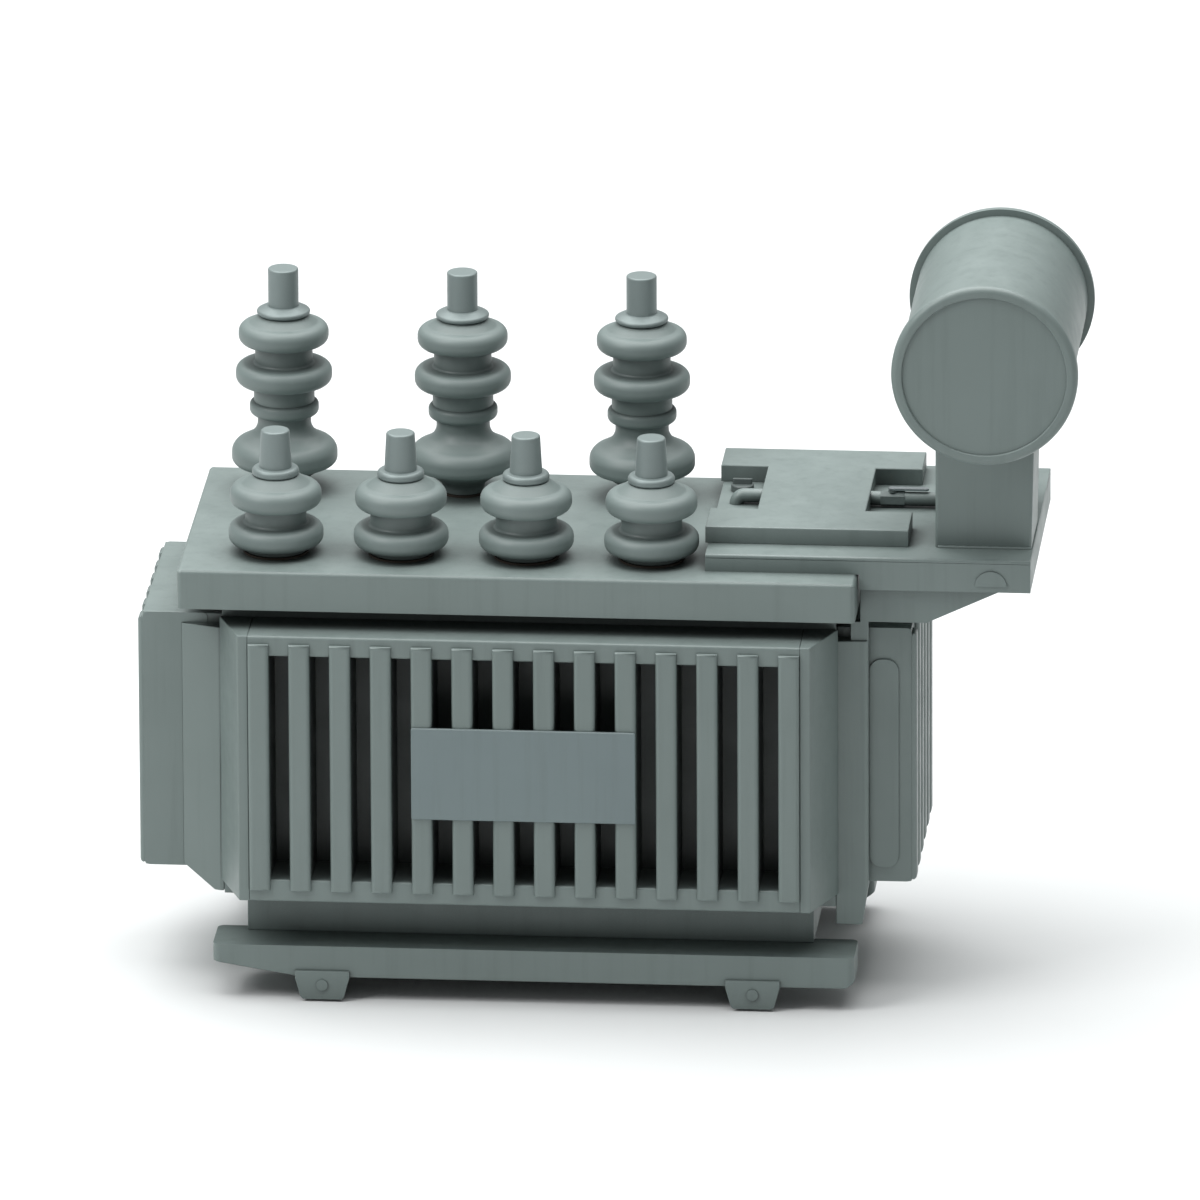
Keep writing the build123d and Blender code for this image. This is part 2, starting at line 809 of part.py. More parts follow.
def shed(height, radius, thickness):
    """Half section of a disc with a fully round rim."""
    with Locations((0, height)):
        Rectangle(radius - thickness / 2, thickness, align=(Align.MIN, Align.CENTER))
    with Locations((radius - thickness / 2, height)):
        Circle(thickness / 2)


def neck(low, high, radius):
    with Locations((0, low)):
        Rectangle(radius, high - low, align=(Align.MIN, Align.MIN))


def insulator_bore(height):
    with Locations((0, bushing_gasket)):
        Rectangle(bushing_bore, height, align=(Align.MIN, Align.MIN), mode=Mode.SUBTRACT)


def shoulder(top_shed, top):
    """The cone that closes the porcelain between its top shed and its metal cap."""
    height, _, thickness = top_shed
    low = height + thickness / 2 - shoulder_sink
    Polygon((0, low), (shoulder_radius, low), (top_face_radius, top), (0, top), align=None)


def make_hv_insulators():
    for number, x in enumerate(hv_xs, start=1):
        with BuildPart() as insulator:
            with BuildSketch(upright(x, hv_row_y, lid_top)):
                for low, high, radius in hv_necks:
                    neck(low, high, radius)
                for height, radius, thickness in hv_sheds:
                    shed(height, radius, thickness)
                Polygon(*[(r, h) for h, r in hv_skirt], align=None)
                shoulder(hv_sheds[-1], hv_body_height)
                insulator_bore(hv_body_height)
            revolve(axis=vertical(x, hv_row_y))
        save(insulator, f"hv_insulator_{number}")


def make_lv_insulators():
    for number, x in enumerate(lv_xs, start=1):
        with BuildPart() as insulator:
            with BuildSketch(upright(x, lv_row_y, lid_top)):
                for low, high, radius in lv_necks:
                    neck(low, high, radius)
                for height, radius, thickness in lv_sheds:
                    shed(height, radius, thickness)
                shoulder(lv_sheds[-1], lv_body_height)
                insulator_bore(lv_body_height)
            revolve(axis=vertical(x, lv_row_y))
        save(insulator, f"lv_insulator_{number}")


def make_bushing_caps():
    with BuildPart() as bushing_caps:
        for x, y in bushings:
            high = y > 0
            rings = hv_cap_rings if high else lv_cap_rings
            height = hv_cap_height if high else lv_cap_height
            foot = hv_body_height if high else lv_body_height
            with BuildSketch(upright(x, y, lid_top)):
                for ring_low, ring_high, radius in rings:
                    shed(foot + (ring_low + ring_high) / 2, radius, ring_high - ring_low)
                with Locations((0, foot)):
                    Rectangle(bushing_bore, height, align=(Align.MIN, Align.MIN), mode=Mode.SUBTRACT)
            revolve(axis=vertical(x, y))
    save(bushing_caps, "bushing_caps")


def make_studs(xs, row_y, body_height, cap_height, foot_radius, top_radius, terminal_height, label):
    low = plate_bottom - lower_body_height - stud_nut_height - stud_tail - lid_top
    seat = body_height + cap_height
    top = seat + terminal_height
    with BuildPart() as studs:
        for x in xs:
            with BuildSketch(upright(x, row_y, lid_top)):
                Polygon(
                    (0, low),
                    (stud_radius, low),
                    (stud_radius, seat),
                    (foot_radius, seat),
                    (top_radius, top - terminal_edge),
                    (top_radius - terminal_edge, top),
                    (0, top),
                    align=None,
                )
            revolve(axis=vertical(x, row_y))
    save(studs, label)


def make_bushing_gaskets():
    with BuildPart() as bushing_gaskets:
        for x, y in bushings:
            radius = hv_foot_radius if y > 0 else lv_foot_radius
            with BuildSketch(Plane.XY.offset(lid_top)):
                with Locations((x, y)):
                    Circle(radius)
                    Circle(spigot_radius + spigot_clearance, mode=Mode.SUBTRACT)
            extrude(amount=bushing_gasket)
    save(bushing_gaskets, "bushing_gaskets")


def make_lower_insulators():
    with BuildPart() as lower_insulators:
        for x, y in bushings:
            with BuildSketch(upright(x, y, lid_top)):
                neck(-lid_plate - lower_body_height, -lid_plate, lower_body_radius)
                neck(-lid_plate, bushing_gasket, spigot_radius)
                with Locations((0, -lid_plate - lower_body_height)):
                    Rectangle(
                        bushing_bore,
                        lower_body_height + lid_plate + bushing_gasket,
                        align=(Align.MIN, Align.MIN),
                        mode=Mode.SUBTRACT,
                    )
            revolve(axis=vertical(x, y))
    save(lower_insulators, "lower_insulators")


def make_stud_nuts():
    with BuildPart() as stud_nuts:
        with BuildSketch(Plane.XY.offset(plate_bottom - lower_body_height - stud_nut_height)):
            with Locations(*bushings):
                RegularPolygon(stud_nut_flats / 2, 6, major_radius=False)
                Circle(stud_radius, mode=Mode.SUBTRACT)
        extrude(amount=stud_nut_height)
    save(stud_nuts, "stud_nuts")


# ---------------------------------------------------------------- platform and conservator


def make_platform_plate():
    with BuildPart() as platform_plate:
        with BuildSketch(Plane.XY.offset(platform_under)):
            with Locations(((platform_left + platform_right) / 2, platform_middle_y)):
                Rectangle(platform_right - platform_left, platform_rear - platform_front)
            with Locations((pipe_left, pipe_y)):
                Circle(pipe_radius, mode=Mode.SUBTRACT)
            with Locations((tap_x, tap_y)):
                Circle(tap_shaft_radius + tap_hole_gap, mode=Mode.SUBTRACT)
        extrude(amount=platform_plate_thickness)
        chamfer(platform_plate.faces().sort_by(Axis.Z)[-1].edges().filter_by(Axis.X), platform_edge)
    save(platform_plate, "platform_plate")


def beam_outline():
    """Side view of a platform beam: it rests on the lid and is deeper past it."""
    step = lid_right + lid_to_beam
    Polygon(
        (platform_left, platform_under),
        (platform_left, lid_top),
        (step, lid_top),
        (step, lid_top - platform_drop),
        (platform_right, lid_top - platform_drop),
        (platform_right, platform_under),
        align=None,
    )


def make_platform_beams():
    with BuildPart() as platform_beams:
        for y in (platform_front, platform_rear - beam_thickness):
            with BuildSketch(Plane.XZ.offset(-y - beam_thickness)):
                beam_outline()
            extrude(amount=beam_thickness)
        with BuildSketch(Plane.YZ.offset(platform_right - beam_thickness)):
            with Locations((platform_middle_y, (platform_under + lid_top - platform_drop) / 2)):
                Rectangle(
                    platform_rear - platform_front - 2 * beam_thickness,
                    platform_under - lid_top + platform_drop,
                )
        extrude(amount=beam_thickness)
        with BuildSketch(Plane.XZ.offset(-platform_front)):
            with Locations((platform_right - lug_inset, lid_top - platform_drop + lug_rise)):
                Circle(lug_radius)
                Rectangle(
                    2 * lug_radius,
                    lug_radius,
                    align=(Align.CENTER, Align.MAX),
                    mode=Mode.SUBTRACT,
                )
        extrude(amount=lug_thickness)
    save(platform_beams, "platform_beams")


def make_gussets():
    """Plates under the platform's overhang, each with a short leg down to a corner post."""
    top = lid_top - platform_drop
    inner = lid_right + lid_to_beam
    leg_left = tank_end + stool_inset
    leg_right = tank_end + post_width
    with BuildPart() as gussets:
        for side in (-1, 1):
            y = side * (tank_width / 2 - gusset_thickness)
            with BuildSketch(Plane.XZ.offset(-y)):
                Polygon(
                    (inner, platform_under),
                    (inner, gusset_foot),
                    (tank_end + side_bank_reach + gusset_nose, gusset_foot),
                    (gusset_right, top),
                    (gusset_right, platform_under),
                    align=None,
                )
                with Locations((leg_left, post_top)):
                    Rectangle(leg_right - leg_left, gusset_foot - post_top, align=(Align.MIN, Align.MIN))
            extrude(amount=gusset_thickness / 2, both=True)
    save(gussets, "gussets")


def make_pipe_guard():
    """Pressed H-shaped cover over the oil pipe, with a bay cut out of each end."""
    with BuildPart() as pipe_guard:
        with BuildSketch(Plane.XY.offset(platform_top)) as outline:
            middle_y = (guard_front + guard_rear) / 2
            with Locations(((guard_left + guard_right) / 2, middle_y)):
                Rectangle(guard_right - guard_left, guard_rear - guard_front)
            bay_y = (guard_bay_front + guard_bay_rear) / 2
            bay_depth = guard_bay_rear - guard_bay_front
            with Locations(((guard_left + guard_web_left) / 2, bay_y)):
                Rectangle(guard_web_left - guard_left, bay_depth, mode=Mode.SUBTRACT)
            with Locations(((guard_right + guard_web_right) / 2, bay_y)):
                Rectangle(guard_right - guard_web_right, bay_depth, mode=Mode.SUBTRACT)
        extrude(amount=guard_height)
        fillet(pipe_guard.faces().sort_by(Axis.Z)[-1].edges(), guard_edge)
        with BuildSketch(Plane.XY.offset(platform_top)):
            add(outline.sketch)
            offset(amount=-guard_sheet, kind=Kind.INTERSECTION, mode=Mode.REPLACE)
        extrude(amount=guard_height - guard_sheet, mode=Mode.SUBTRACT)
        # the pipe passes through both webs
        with BuildSketch(Plane.YZ.offset(guard_web_left)):
            with Locations((pipe_y, pipe_z)):
                Circle(pipe_radius + guard_hole_gap)
            with Locations((pipe_y, pipe_z)):
                Rectangle(
                    2 * (pipe_radius + guard_hole_gap),
                    pipe_height + guard_hole_gap,
                    align=(Align.CENTER, Align.MAX),
                )
        extrude(amount=guard_web_right - guard_web_left, mode=Mode.SUBTRACT)
    save(pipe_guard, "pipe_guard")


def make_pillar():
    middle_y = pillar_front + pillar_depth / 2
    saddle = drum_centre_z - drum_radius / 2
    with BuildPart() as pillar:
        with BuildSketch(Plane.XZ.offset(-middle_y)):
            Polygon(
                (pillar_left, platform_top),
                (pillar_right - pillar_taper, platform_top),
                (pillar_right, saddle),
                (pillar_right, drum_centre_z),
                (pillar_left, drum_centre_z),
                align=None,
            )
        extrude(amount=pillar_depth / 2, both=True)
        fillet(pillar.edges().filter_by(Axis.Z), pillar_edge)
        with BuildSketch(Plane.XZ.offset(-middle_y)):
            Polygon(
                (pillar_left + pillar_wall, platform_top - 1),
                (pillar_right - pillar_taper - pillar_wall, platform_top - 1),
                (pillar_right - pillar_wall, saddle),
                (pillar_right - pillar_wall, drum_centre_z),
                (pillar_left + pillar_wall, drum_centre_z),
                align=None,
            )
        extrude(amount=pillar_depth / 2 - pillar_wall, both=True, mode=Mode.SUBTRACT)
        with BuildSketch(Plane.XZ.offset(-middle_y)):
            with Locations((drum_centre_x, drum_centre_z)):
                Circle(drum_radius)
        extrude(amount=pillar_depth, both=True, mode=Mode.SUBTRACT)
    save(pillar, "pillar")


def make_drum():
    with BuildPart() as drum:
        with BuildSketch(Plane.XZ.offset(-drum_centre_y)):
            with Locations((drum_centre_x, drum_centre_z)):
                Circle(drum_radius)
        extrude(amount=drum_length / 2 - cap_rim, both=True)
        with BuildSketch(Plane.XZ.offset(-drum_centre_y)):
            with Locations((drum_centre_x, drum_centre_z)):
                Circle(drum_radius - drum_wall)
        extrude(amount=drum_length / 2 - cap_rim, both=True, mode=Mode.SUBTRACT)
        with BuildSketch(Plane.XY.offset(drum_centre_z - cap_radius)):
            with Locations((drum_centre_x, pipe_y)):
                Circle(pipe_radius)
            with Locations((breather_x, breather_y)):
                Circle(breather_pipe_radius)
        extrude(amount=drum_radius / 2, mode=Mode.SUBTRACT)
    save(drum, "drum")


def make_drum_cap(face_y, outward, label, dish_depth):
    """Drum end with a rim that laps over the drum's edge. The flat one carries the oil gauge."""
    inner_y = face_y - outward * cap_rim
    plane = Plane.XZ.offset(-inner_y)
    away = -outward
    with BuildPart() as cap:
        with BuildSketch(plane):
            with Locations((drum_centre_x, drum_centre_z)):
                Circle(cap_radius)
        extrude(amount=away * cap_rim)
        outer_face = cap.faces().sort_by(Axis.Y)[-1 if outward > 0 else 0]
        fillet(outer_face.edges(), cap_edge)
        with BuildSketch(plane):
            with Locations((drum_centre_x, drum_centre_z)):
                Circle(drum_radius - drum_wall)
        extrude(amount=away * (cap_rim - cap_plate - dish_depth), mode=Mode.SUBTRACT)
        if dish_depth:
            with BuildSketch(Plane.XZ.offset(-face_y)):
                with Locations((drum_centre_x, drum_centre_z)):
                    Circle(cap_dish_radius)
            extrude(amount=-away * dish_depth, mode=Mode.SUBTRACT)
            rim = cap.faces().sort_by(Axis.Y)[-1 if outward > 0 else 0]
            fillet(rim.edges().sort_by(SortBy.LENGTH)[0], cap_dish_edge)
        else:
            with BuildSketch(plane):
                with Locations((drum_centre_x, drum_centre_z + gauge_height)):
                    Circle(spindle_radius + running_clearance)
            extrude(amount=away * cap_rim, mode=Mode.SUBTRACT)
    save(cap, label)


def make_conservator_pipe():
    """Oil pipe: up out of the lid, along the platform behind the pillar and up into the drum."""
    drum_entry = drum_centre_z - drum_radius + pipe_entry
    with BuildPart() as conservator_pipe:
        with BuildLine():
            FilletPolyline(
                (pipe_left, pipe_y, plate_bottom - pipe_tail),
                (pipe_left, pipe_y, pipe_z),
                (drum_centre_x, pipe_y, pipe_z),
                (drum_centre_x, pipe_y, drum_entry),
                radius=pipe_bend,
            )
        with BuildSketch(Plane(origin=(pipe_left, pipe_y, plate_bottom - pipe_tail), z_dir=(0, 0, 1))):
            Circle(pipe_radius)
            Circle(pipe_bore, mode=Mode.SUBTRACT)
        sweep()
        # the valve body takes the pipe's place where it sits
        with BuildSketch(Plane.YZ.offset(valve_centre_x - valve_length / 2)):
            with Locations((pipe_y, pipe_z)):
                Circle(pipe_radius + guard_hole_gap)
        extrude(amount=valve_length, mode=Mode.SUBTRACT)
    save(conservator_pipe, "conservator_pipe")


def make_pipe_valve():
    half = valve_length / 2
    bonnet_bottom = pipe_z + pipe_bore + valve_bonnet_wall
    bonnet_top = pipe_z + valve_radius + valve_bonnet_wall
    lever_z = bonnet_top + lever_gap
    with BuildPart() as valve_body:
        with BuildSketch(Plane.YZ.offset(valve_centre_x - half)):
            with Locations((pipe_y, pipe_z)):
                RegularPolygon(valve_radius - lever_gap, 6, major_radius=False, rotation=30)
                Circle(pipe_bore, mode=Mode.SUBTRACT)
        extrude(amount=valve_length)
        with BuildSketch(Plane.XY.offset(bonnet_bottom)):
            with Locations((valve_centre_x, pipe_y)):
                Circle(valve_bonnet_radius)
        extrude(amount=bonnet_top - bonnet_bottom)
        with BuildSketch(Plane.XY.offset(bonnet_bottom - valve_stem_depth)):
            with Locations((valve_centre_x, pipe_y)):
                Circle(valve_stem_radius + running_clearance)
        extrude(amount=bonnet_top - bonnet_bottom + valve_stem_depth, mode=Mode.SUBTRACT)
    save(valve_body, "pipe_valve_body")

    with BuildPart() as valve_lever:
        with BuildSketch(Plane.XY.offset(lever_z)):
            with Locations((valve_centre_x, pipe_y)):
                Circle(lever_width * lever_boss_share)
            with Locations((valve_centre_x + lever_length / 2, pipe_y)):
                SlotOverall(lever_length + lever_width, lever_width)
        extrude(amount=lever_thickness)
        with BuildSketch(Plane.XY.offset(bonnet_bottom)):
            with Locations((valve_centre_x, pipe_y)):
                Circle(valve_stem_radius)
        extrude(amount=lever_z - bonnet_bottom)
    save(valve_lever, "pipe_valve_lever")


# ---------------------------------------------------------------- oil gauge, breather, drain, taps

def make_oil_gauge():
    """Dial case on the rear cap, a pointer in it, and the float inside that turns with the pointer."""
    with BuildPart() as oil_gauge_case:
        with BuildSketch(Plane.XZ.offset(-drum_rear)):
            with Locations((drum_centre_x, gauge_z)):
                Circle(gauge_radius)
        extrude(amount=-gauge_depth)
        chamfer(oil_gauge_case.faces().sort_by(Axis.Y)[-1].edges(), gauge_edge)
        with BuildSketch(Plane.XZ.offset(-drum_rear - gauge_wall)):
            with Locations((drum_centre_x, gauge_z)):
                Circle(gauge_radius - gauge_wall)
        extrude(amount=-gauge_depth, mode=Mode.SUBTRACT)
        with BuildSketch(Plane.XZ.offset(-drum_rear - gauge_wall)):
            with Locations((drum_centre_x, gauge_z)):
                Circle(pin_radius)
        extrude(amount=-pointer_gap - pointer_thickness)
    save(oil_gauge_case, "oil_gauge_case")

    with BuildPart() as gauge_glass:
        with BuildSketch(Plane.XZ.offset(-drum_rear - gauge_depth + glass_setback)):
            with Locations((drum_centre_x, gauge_z)):
                Circle(gauge_radius - gauge_wall)
        extrude(amount=glass_thickness)
    save(gauge_glass, "gauge_glass")

    with BuildPart() as oil_gauge_pointer:
        with BuildSketch(Plane.XZ.offset(-drum_rear - gauge_wall - pointer_gap)):
            with Locations((drum_centre_x, gauge_z)):
                Circle(spindle_radius + pointer_tip)
            Polygon(
                (drum_centre_x, gauge_z + spindle_radius),
                (drum_centre_x - pointer_length, gauge_z + pointer_tip),
                (drum_centre_x - pointer_length, gauge_z - pointer_tip),
                (drum_centre_x, gauge_z - spindle_radius),
                align=None,
            )
            with Locations((drum_centre_x, gauge_z)):
                Circle(pin_radius + running_clearance, mode=Mode.SUBTRACT)
        extrude(amount=-pointer_thickness)
    save(oil_gauge_pointer, "oil_gauge_pointer")

    arm_y = drum_rear - cap_plate - 2 * float_arm_radius
    with BuildPart() as oil_float:
        with BuildSketch(Plane.XZ.offset(-drum_rear)):
            with Locations((drum_centre_x, gauge_z)):
                Circle(spindle_radius)
        extrude(amount=cap_plate + 3 * float_arm_radius)
        with BuildSketch(Plane.YZ.offset(drum_centre_x)):
            with Locations((arm_y, gauge_z)):
                Circle(float_arm_radius)
        extrude(amount=-float_arm_length)
        with BuildSketch(Plane.XZ.offset(-arm_y - float_arm_radius)):
            with Locations((drum_centre_x - float_arm_length, gauge_z)):
                Circle(float_radius)
        extrude(amount=float_length)
    save(oil_float, "oil_float")


def make_breather():
    """Air pipe down from the top of the drum, and under it a glass jar of drying agent."""
    jar_top = breather_jar_bottom + breather_jar_height
    pipe_top = drum_centre_z + drum_radius / 2
    lip_radius = breather_jar_radius + breather_lip
    pipe_bore_radius = breather_pipe_radius - breather_pipe_wall
    with BuildPart() as breather_pipe:
        with BuildSketch(Plane.XY.offset(jar_top)):
            with Locations((breather_x, breather_y)):
                Circle(breather_pipe_radius)
        extrude(amount=pipe_top - jar_top)
        with BuildSketch(Plane.XY.offset(jar_top)):
            with Locations((breather_x, breather_y)):
                Circle(lip_radius)
        extrude(amount=breather_flange)
        with BuildSketch(Plane.XY.offset(jar_top)):
            with Locations((breather_x, breather_y)):
                Circle(pipe_bore_radius)
        extrude(amount=pipe_top - jar_top, mode=Mode.SUBTRACT)
        with BuildSketch(Plane.XY.offset(breather_jar_bottom - 2 * breather_flange)):
            with Locations((breather_x, breather_y)):
                Circle(lip_radius)
        extrude(amount=2 * breather_flange)
        fillet(breather_pipe.faces().sort_by(Axis.Z)[0].edges(), cup_edge)
    save(breather_pipe, "breather_pipe")

    with BuildPart() as breather_jar:
        with BuildSketch(Plane.XY.offset(breather_jar_bottom)):
            with Locations((breather_x, breather_y)):
                Circle(breather_jar_radius)
                Circle(breather_jar_radius - breather_jar_wall, mode=Mode.SUBTRACT)
        extrude(amount=breather_jar_height)
    save(breather_jar, "breather_jar")

    with BuildPart() as breather_gel:
        with BuildSketch(Plane.XY.offset(breather_jar_bottom)):
            with Locations((breather_x, breather_y)):
                Circle(breather_jar_radius - breather_jar_wall - gel_gap)
        extrude(amount=gel_height)
    save(breather_gel, "breather_gel")


def make_drain_valve():
    body_end = tank_end + drain_body_length
    bonnet_end = body_end + drain_bonnet_length
    outlet_x = tank_end + drain_outlet_x
    with BuildPart() as drain_valve_body:
        with BuildSketch(Plane.YZ.offset(tank_end)):
            with Locations((drain_y, drain_z)):
                Circle(drain_body_radius)
        extrude(amount=drain_body_length)
        with BuildSketch(Plane.YZ.offset(body_end)):
            with Locations((drain_y, drain_z)):
                RegularPolygon(drain_bonnet_radius, 6)
        extrude(amount=drain_bonnet_length)
        with BuildSketch(Plane.XY.offset(drain_outlet_bottom)):
            with Locations((outlet_x, drain_y)):
                Circle(drain_outlet_radius)
        extrude(amount=drain_z - drain_outlet_bottom)
        with BuildSketch(Plane.XY.offset(drain_outlet_bottom)):
            with Locations((outlet_x, drain_y)):
                Circle(drain_outlet_radius - drain_outlet_wall)
        extrude(amount=drain_z - drain_outlet_bottom, mode=Mode.SUBTRACT)
        with BuildSketch(Plane.YZ.offset(tank_end)):
            with Locations((drain_y, drain_z)):
                Circle(pipe_bore)
        extrude(amount=drain_outlet_x + pipe_bore, mode=Mode.SUBTRACT)
        with BuildSketch(Plane.YZ.offset(body_end)):
            with Locations((drain_y, drain_z)):
                Circle(drain_stem_radius + running_clearance)
        extrude(amount=drain_bonnet_length, mode=Mode.SUBTRACT)
    save(drain_valve_body, "drain_valve_body")

    wheel_x = bonnet_end + drain_stem_length - wheel_thickness
    with BuildPart() as drain_handwheel:
        with BuildSketch(Plane.YZ.offset(wheel_x)):
            with Locations((drain_y, drain_z)):
                Circle(wheel_radius)
                Circle(wheel_radius - 2 * wheel_rim, mode=Mode.SUBTRACT)
        extrude(amount=wheel_thickness)
        fillet(drain_handwheel.edges().filter_by(GeomType.CIRCLE), wheel_edge)
        with BuildSketch(Plane.YZ.offset(wheel_x + wheel_web_inset)):
            with Locations((drain_y, drain_z)):
                Circle(wheel_hub_radius)
                with PolarLocations(0, wheel_spokes // 2, angular_range=180):
                    Rectangle(2 * wheel_radius - 2 * wheel_rim, wheel_spoke_width)
        extrude(amount=wheel_thickness - 2 * wheel_web_inset)
        with BuildSketch(Plane.YZ.offset(body_end)):
            with Locations((drain_y, drain_z)):
                Circle(drain_stem_radius)
        extrude(amount=drain_bonnet_length + drain_stem_length)
    save(drain_handwheel, "drain_handwheel")


def make_tap_changer():
    knob_bottom = platform_top + tap_knob_gap
    with BuildPart() as tap_changer_shaft:
        with BuildSketch(Plane.XY.offset(tap_shaft_bottom)):
            with Locations((tap_x, tap_y)):
                Circle(tap_shaft_radius)
        extrude(amount=knob_bottom - tap_shaft_bottom)
        with BuildSketch(Plane.XY.offset(tap_shaft_bottom)):
            with Locations((tap_x, tap_y)):
                Circle(tap_rotor_radius)
        extrude(amount=tap_rotor_height)
    save(tap_changer_shaft, "tap_changer_shaft")

    with BuildPart() as tap_changer_knob:
        with BuildSketch(Plane.XY.offset(knob_bottom)):
            with Locations((tap_x, tap_y)):
                Circle(tap_knob_radius)
        extrude(amount=tap_knob_height)
        fillet(tap_changer_knob.faces().sort_by(Axis.Z)[-1].edges(), tap_knob_edge)
        with BuildSketch(Plane.XY.offset(knob_bottom + tap_knob_height)):
            with Locations((tap_x, tap_y)):
                SlotOverall(2 * tap_knob_radius * tap_grip_share, tap_grip_width)
        extrude(amount=tap_grip_height)
    save(tap_changer_knob, "tap_changer_knob")


# ---------------------------------------------------------------- inside the tank


def make_core():
    with BuildPart() as core:
        with BuildSketch(Plane.XY.offset(window_bottom)):
            with Locations(*[(x, 0) for x in limb_xs]):
                Circle(limb_radius)
        extrude(amount=window_top - window_bottom)
        for low in (window_bottom - yoke_height, window_top):
            with BuildSketch(Plane.XY.offset(low)):
                Rectangle(2 * (limb_pitch + limb_radius), yoke_depth)
            extrude(amount=yoke_height)
    save(core, "core")


def make_core_clamps():
    floor = tank_bottom + tank_floor
    low_top = window_bottom - (yoke_height - clamp_height) / 2
    high_bottom = window_top + (yoke_height - clamp_height) / 2
    y = yoke_depth / 2 + clamp_thickness / 2
    with BuildPart() as core_clamps:
        for low, high in ((floor, low_top), (high_bottom, high_bottom + clamp_height)):
            with BuildSketch(Plane.XY.offset(low)):
                with Locations((0, -y), (0, y)):
                    Rectangle(clamp_length, clamp_thickness)
            extrude(amount=high - low)
        with BuildSketch(Plane.XY.offset(low_top)):
            rod_x = clamp_length / 2 - tie_rod_inset
            with Locations((-rod_x, -y), (-rod_x, y), (rod_x, -y), (rod_x, y)):
                Circle(tie_rod_radius)
        extrude(amount=high_bottom - low_top)
    save(core_clamps, "core_clamps")


def make_windings(inner, outer, label):
    with BuildPart() as windings:
        with BuildSketch(Plane.XY.offset(window_bottom)):
            with Locations(*[(x, 0) for x in limb_xs]):
                Circle(outer)
                Circle(inner, mode=Mode.SUBTRACT)
        extrude(amount=window_top - window_bottom)
    save(windings, label)


for build in (
    make_skids,
    make_cross_beams,
    make_roller_cheeks,
    make_roller_axles,
    make_rollers,
    make_plinth,
    make_tank,
    make_corner_posts,
    make_lid,
    make_lid_gasket,
    make_lid_bolts,
    make_long_fins,
    make_side_fins,
    make_long_headers,
    make_side_headers,
    make_radiator_end_plates,
    make_nameplate,
    make_hv_insulators,
    make_lv_insulators,
    make_bushing_caps,
    make_bushing_gaskets,
    make_lower_insulators,
    make_stud_nuts,
    make_platform_plate,
    make_platform_beams,
    make_gussets,
    make_pipe_guard,
    make_pillar,
    make_drum,
    make_conservator_pipe,
    make_pipe_valve,
    make_oil_gauge,
    make_breather,
    make_drain_valve,
    make_tap_changer,
    make_core,
    make_core_clamps,
):
    build()

make_studs(
    hv_xs, hv_row_y, hv_body_height, hv_cap_height,
    hv_terminal_radius, hv_terminal_radius, hv_terminal_height, "hv_studs",
)
make_studs(
    lv_xs, lv_row_y, lv_body_height, lv_cap_height,
    lv_terminal_radius, lv_terminal_top_radius, lv_terminal_height, "lv_studs",
)
make_drum_cap(drum_front, -1, "drum_front_cap", cap_dish_depth)
make_drum_cap(drum_rear, 1, "drum_rear_cap", 0)
make_windings(lv_coil_inner, lv_coil_outer, "lv_windings")
make_windings(hv_coil_inner, hv_coil_outer, "hv_windings")
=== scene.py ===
import bpy
import bmesh
import json
import math
from math import radians, pi
from mathutils import Matrix, Vector


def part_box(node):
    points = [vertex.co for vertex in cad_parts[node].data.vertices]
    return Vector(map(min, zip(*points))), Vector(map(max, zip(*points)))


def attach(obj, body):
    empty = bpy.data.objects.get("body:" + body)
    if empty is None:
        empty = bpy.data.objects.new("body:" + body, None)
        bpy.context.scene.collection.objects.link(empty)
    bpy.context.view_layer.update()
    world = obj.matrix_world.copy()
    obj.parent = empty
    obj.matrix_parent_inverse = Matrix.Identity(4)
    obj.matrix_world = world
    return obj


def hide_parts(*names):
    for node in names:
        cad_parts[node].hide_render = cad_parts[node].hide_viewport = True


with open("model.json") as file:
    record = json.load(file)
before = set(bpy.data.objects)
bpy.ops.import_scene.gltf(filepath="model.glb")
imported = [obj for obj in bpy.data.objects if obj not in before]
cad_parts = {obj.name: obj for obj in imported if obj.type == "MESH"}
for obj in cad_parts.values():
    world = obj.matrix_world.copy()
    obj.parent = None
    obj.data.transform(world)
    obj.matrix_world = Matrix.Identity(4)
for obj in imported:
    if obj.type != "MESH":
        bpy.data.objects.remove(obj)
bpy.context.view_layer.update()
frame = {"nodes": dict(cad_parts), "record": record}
nodes = frame["nodes"]
record = frame["record"]
mm = 0.001
bodyOf = {node: body for body, members in record["behaviour"]["bodies"].items() for node in members}
slotOf = {part["node"]: part["material_slot"] for part in record["subparts"]}
print("frame loaded:", len(nodes), "nodes")


# small helpers

def linear(code):
    # sRGB hex to the linear colour that a shader socket wants
    values = [int(code[i:i + 2], 16) / 255 for i in (1, 3, 5)]
    return [v / 12.92 if v <= 0.04045 else ((v + 0.055) / 1.055) ** 2.4 for v in values] + [1.0]


def addNode(tree, kind, settings=None, inputs=None, links=None):
    node = tree.nodes.new(kind)
    for name, value in (settings or {}).items():
        setattr(node, name, value)
    for name, value in (inputs or {}).items():
        node.inputs[name].default_value = value
    for name, source in (links or {}).items():
        tree.links.new(source, node.inputs[name])
    return node


def newMaterial(name, shaderInputs):
    material = bpy.data.materials.new(name)
    material.use_nodes = True
    tree = material.node_tree
    shader = tree.nodes["Principled BSDF"]
    for socket, value in shaderInputs.items():
        shader.inputs[socket].default_value = value
    return material, tree, shader


def middleOf(node):
    low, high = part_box(node)
    return (low + high) / 2


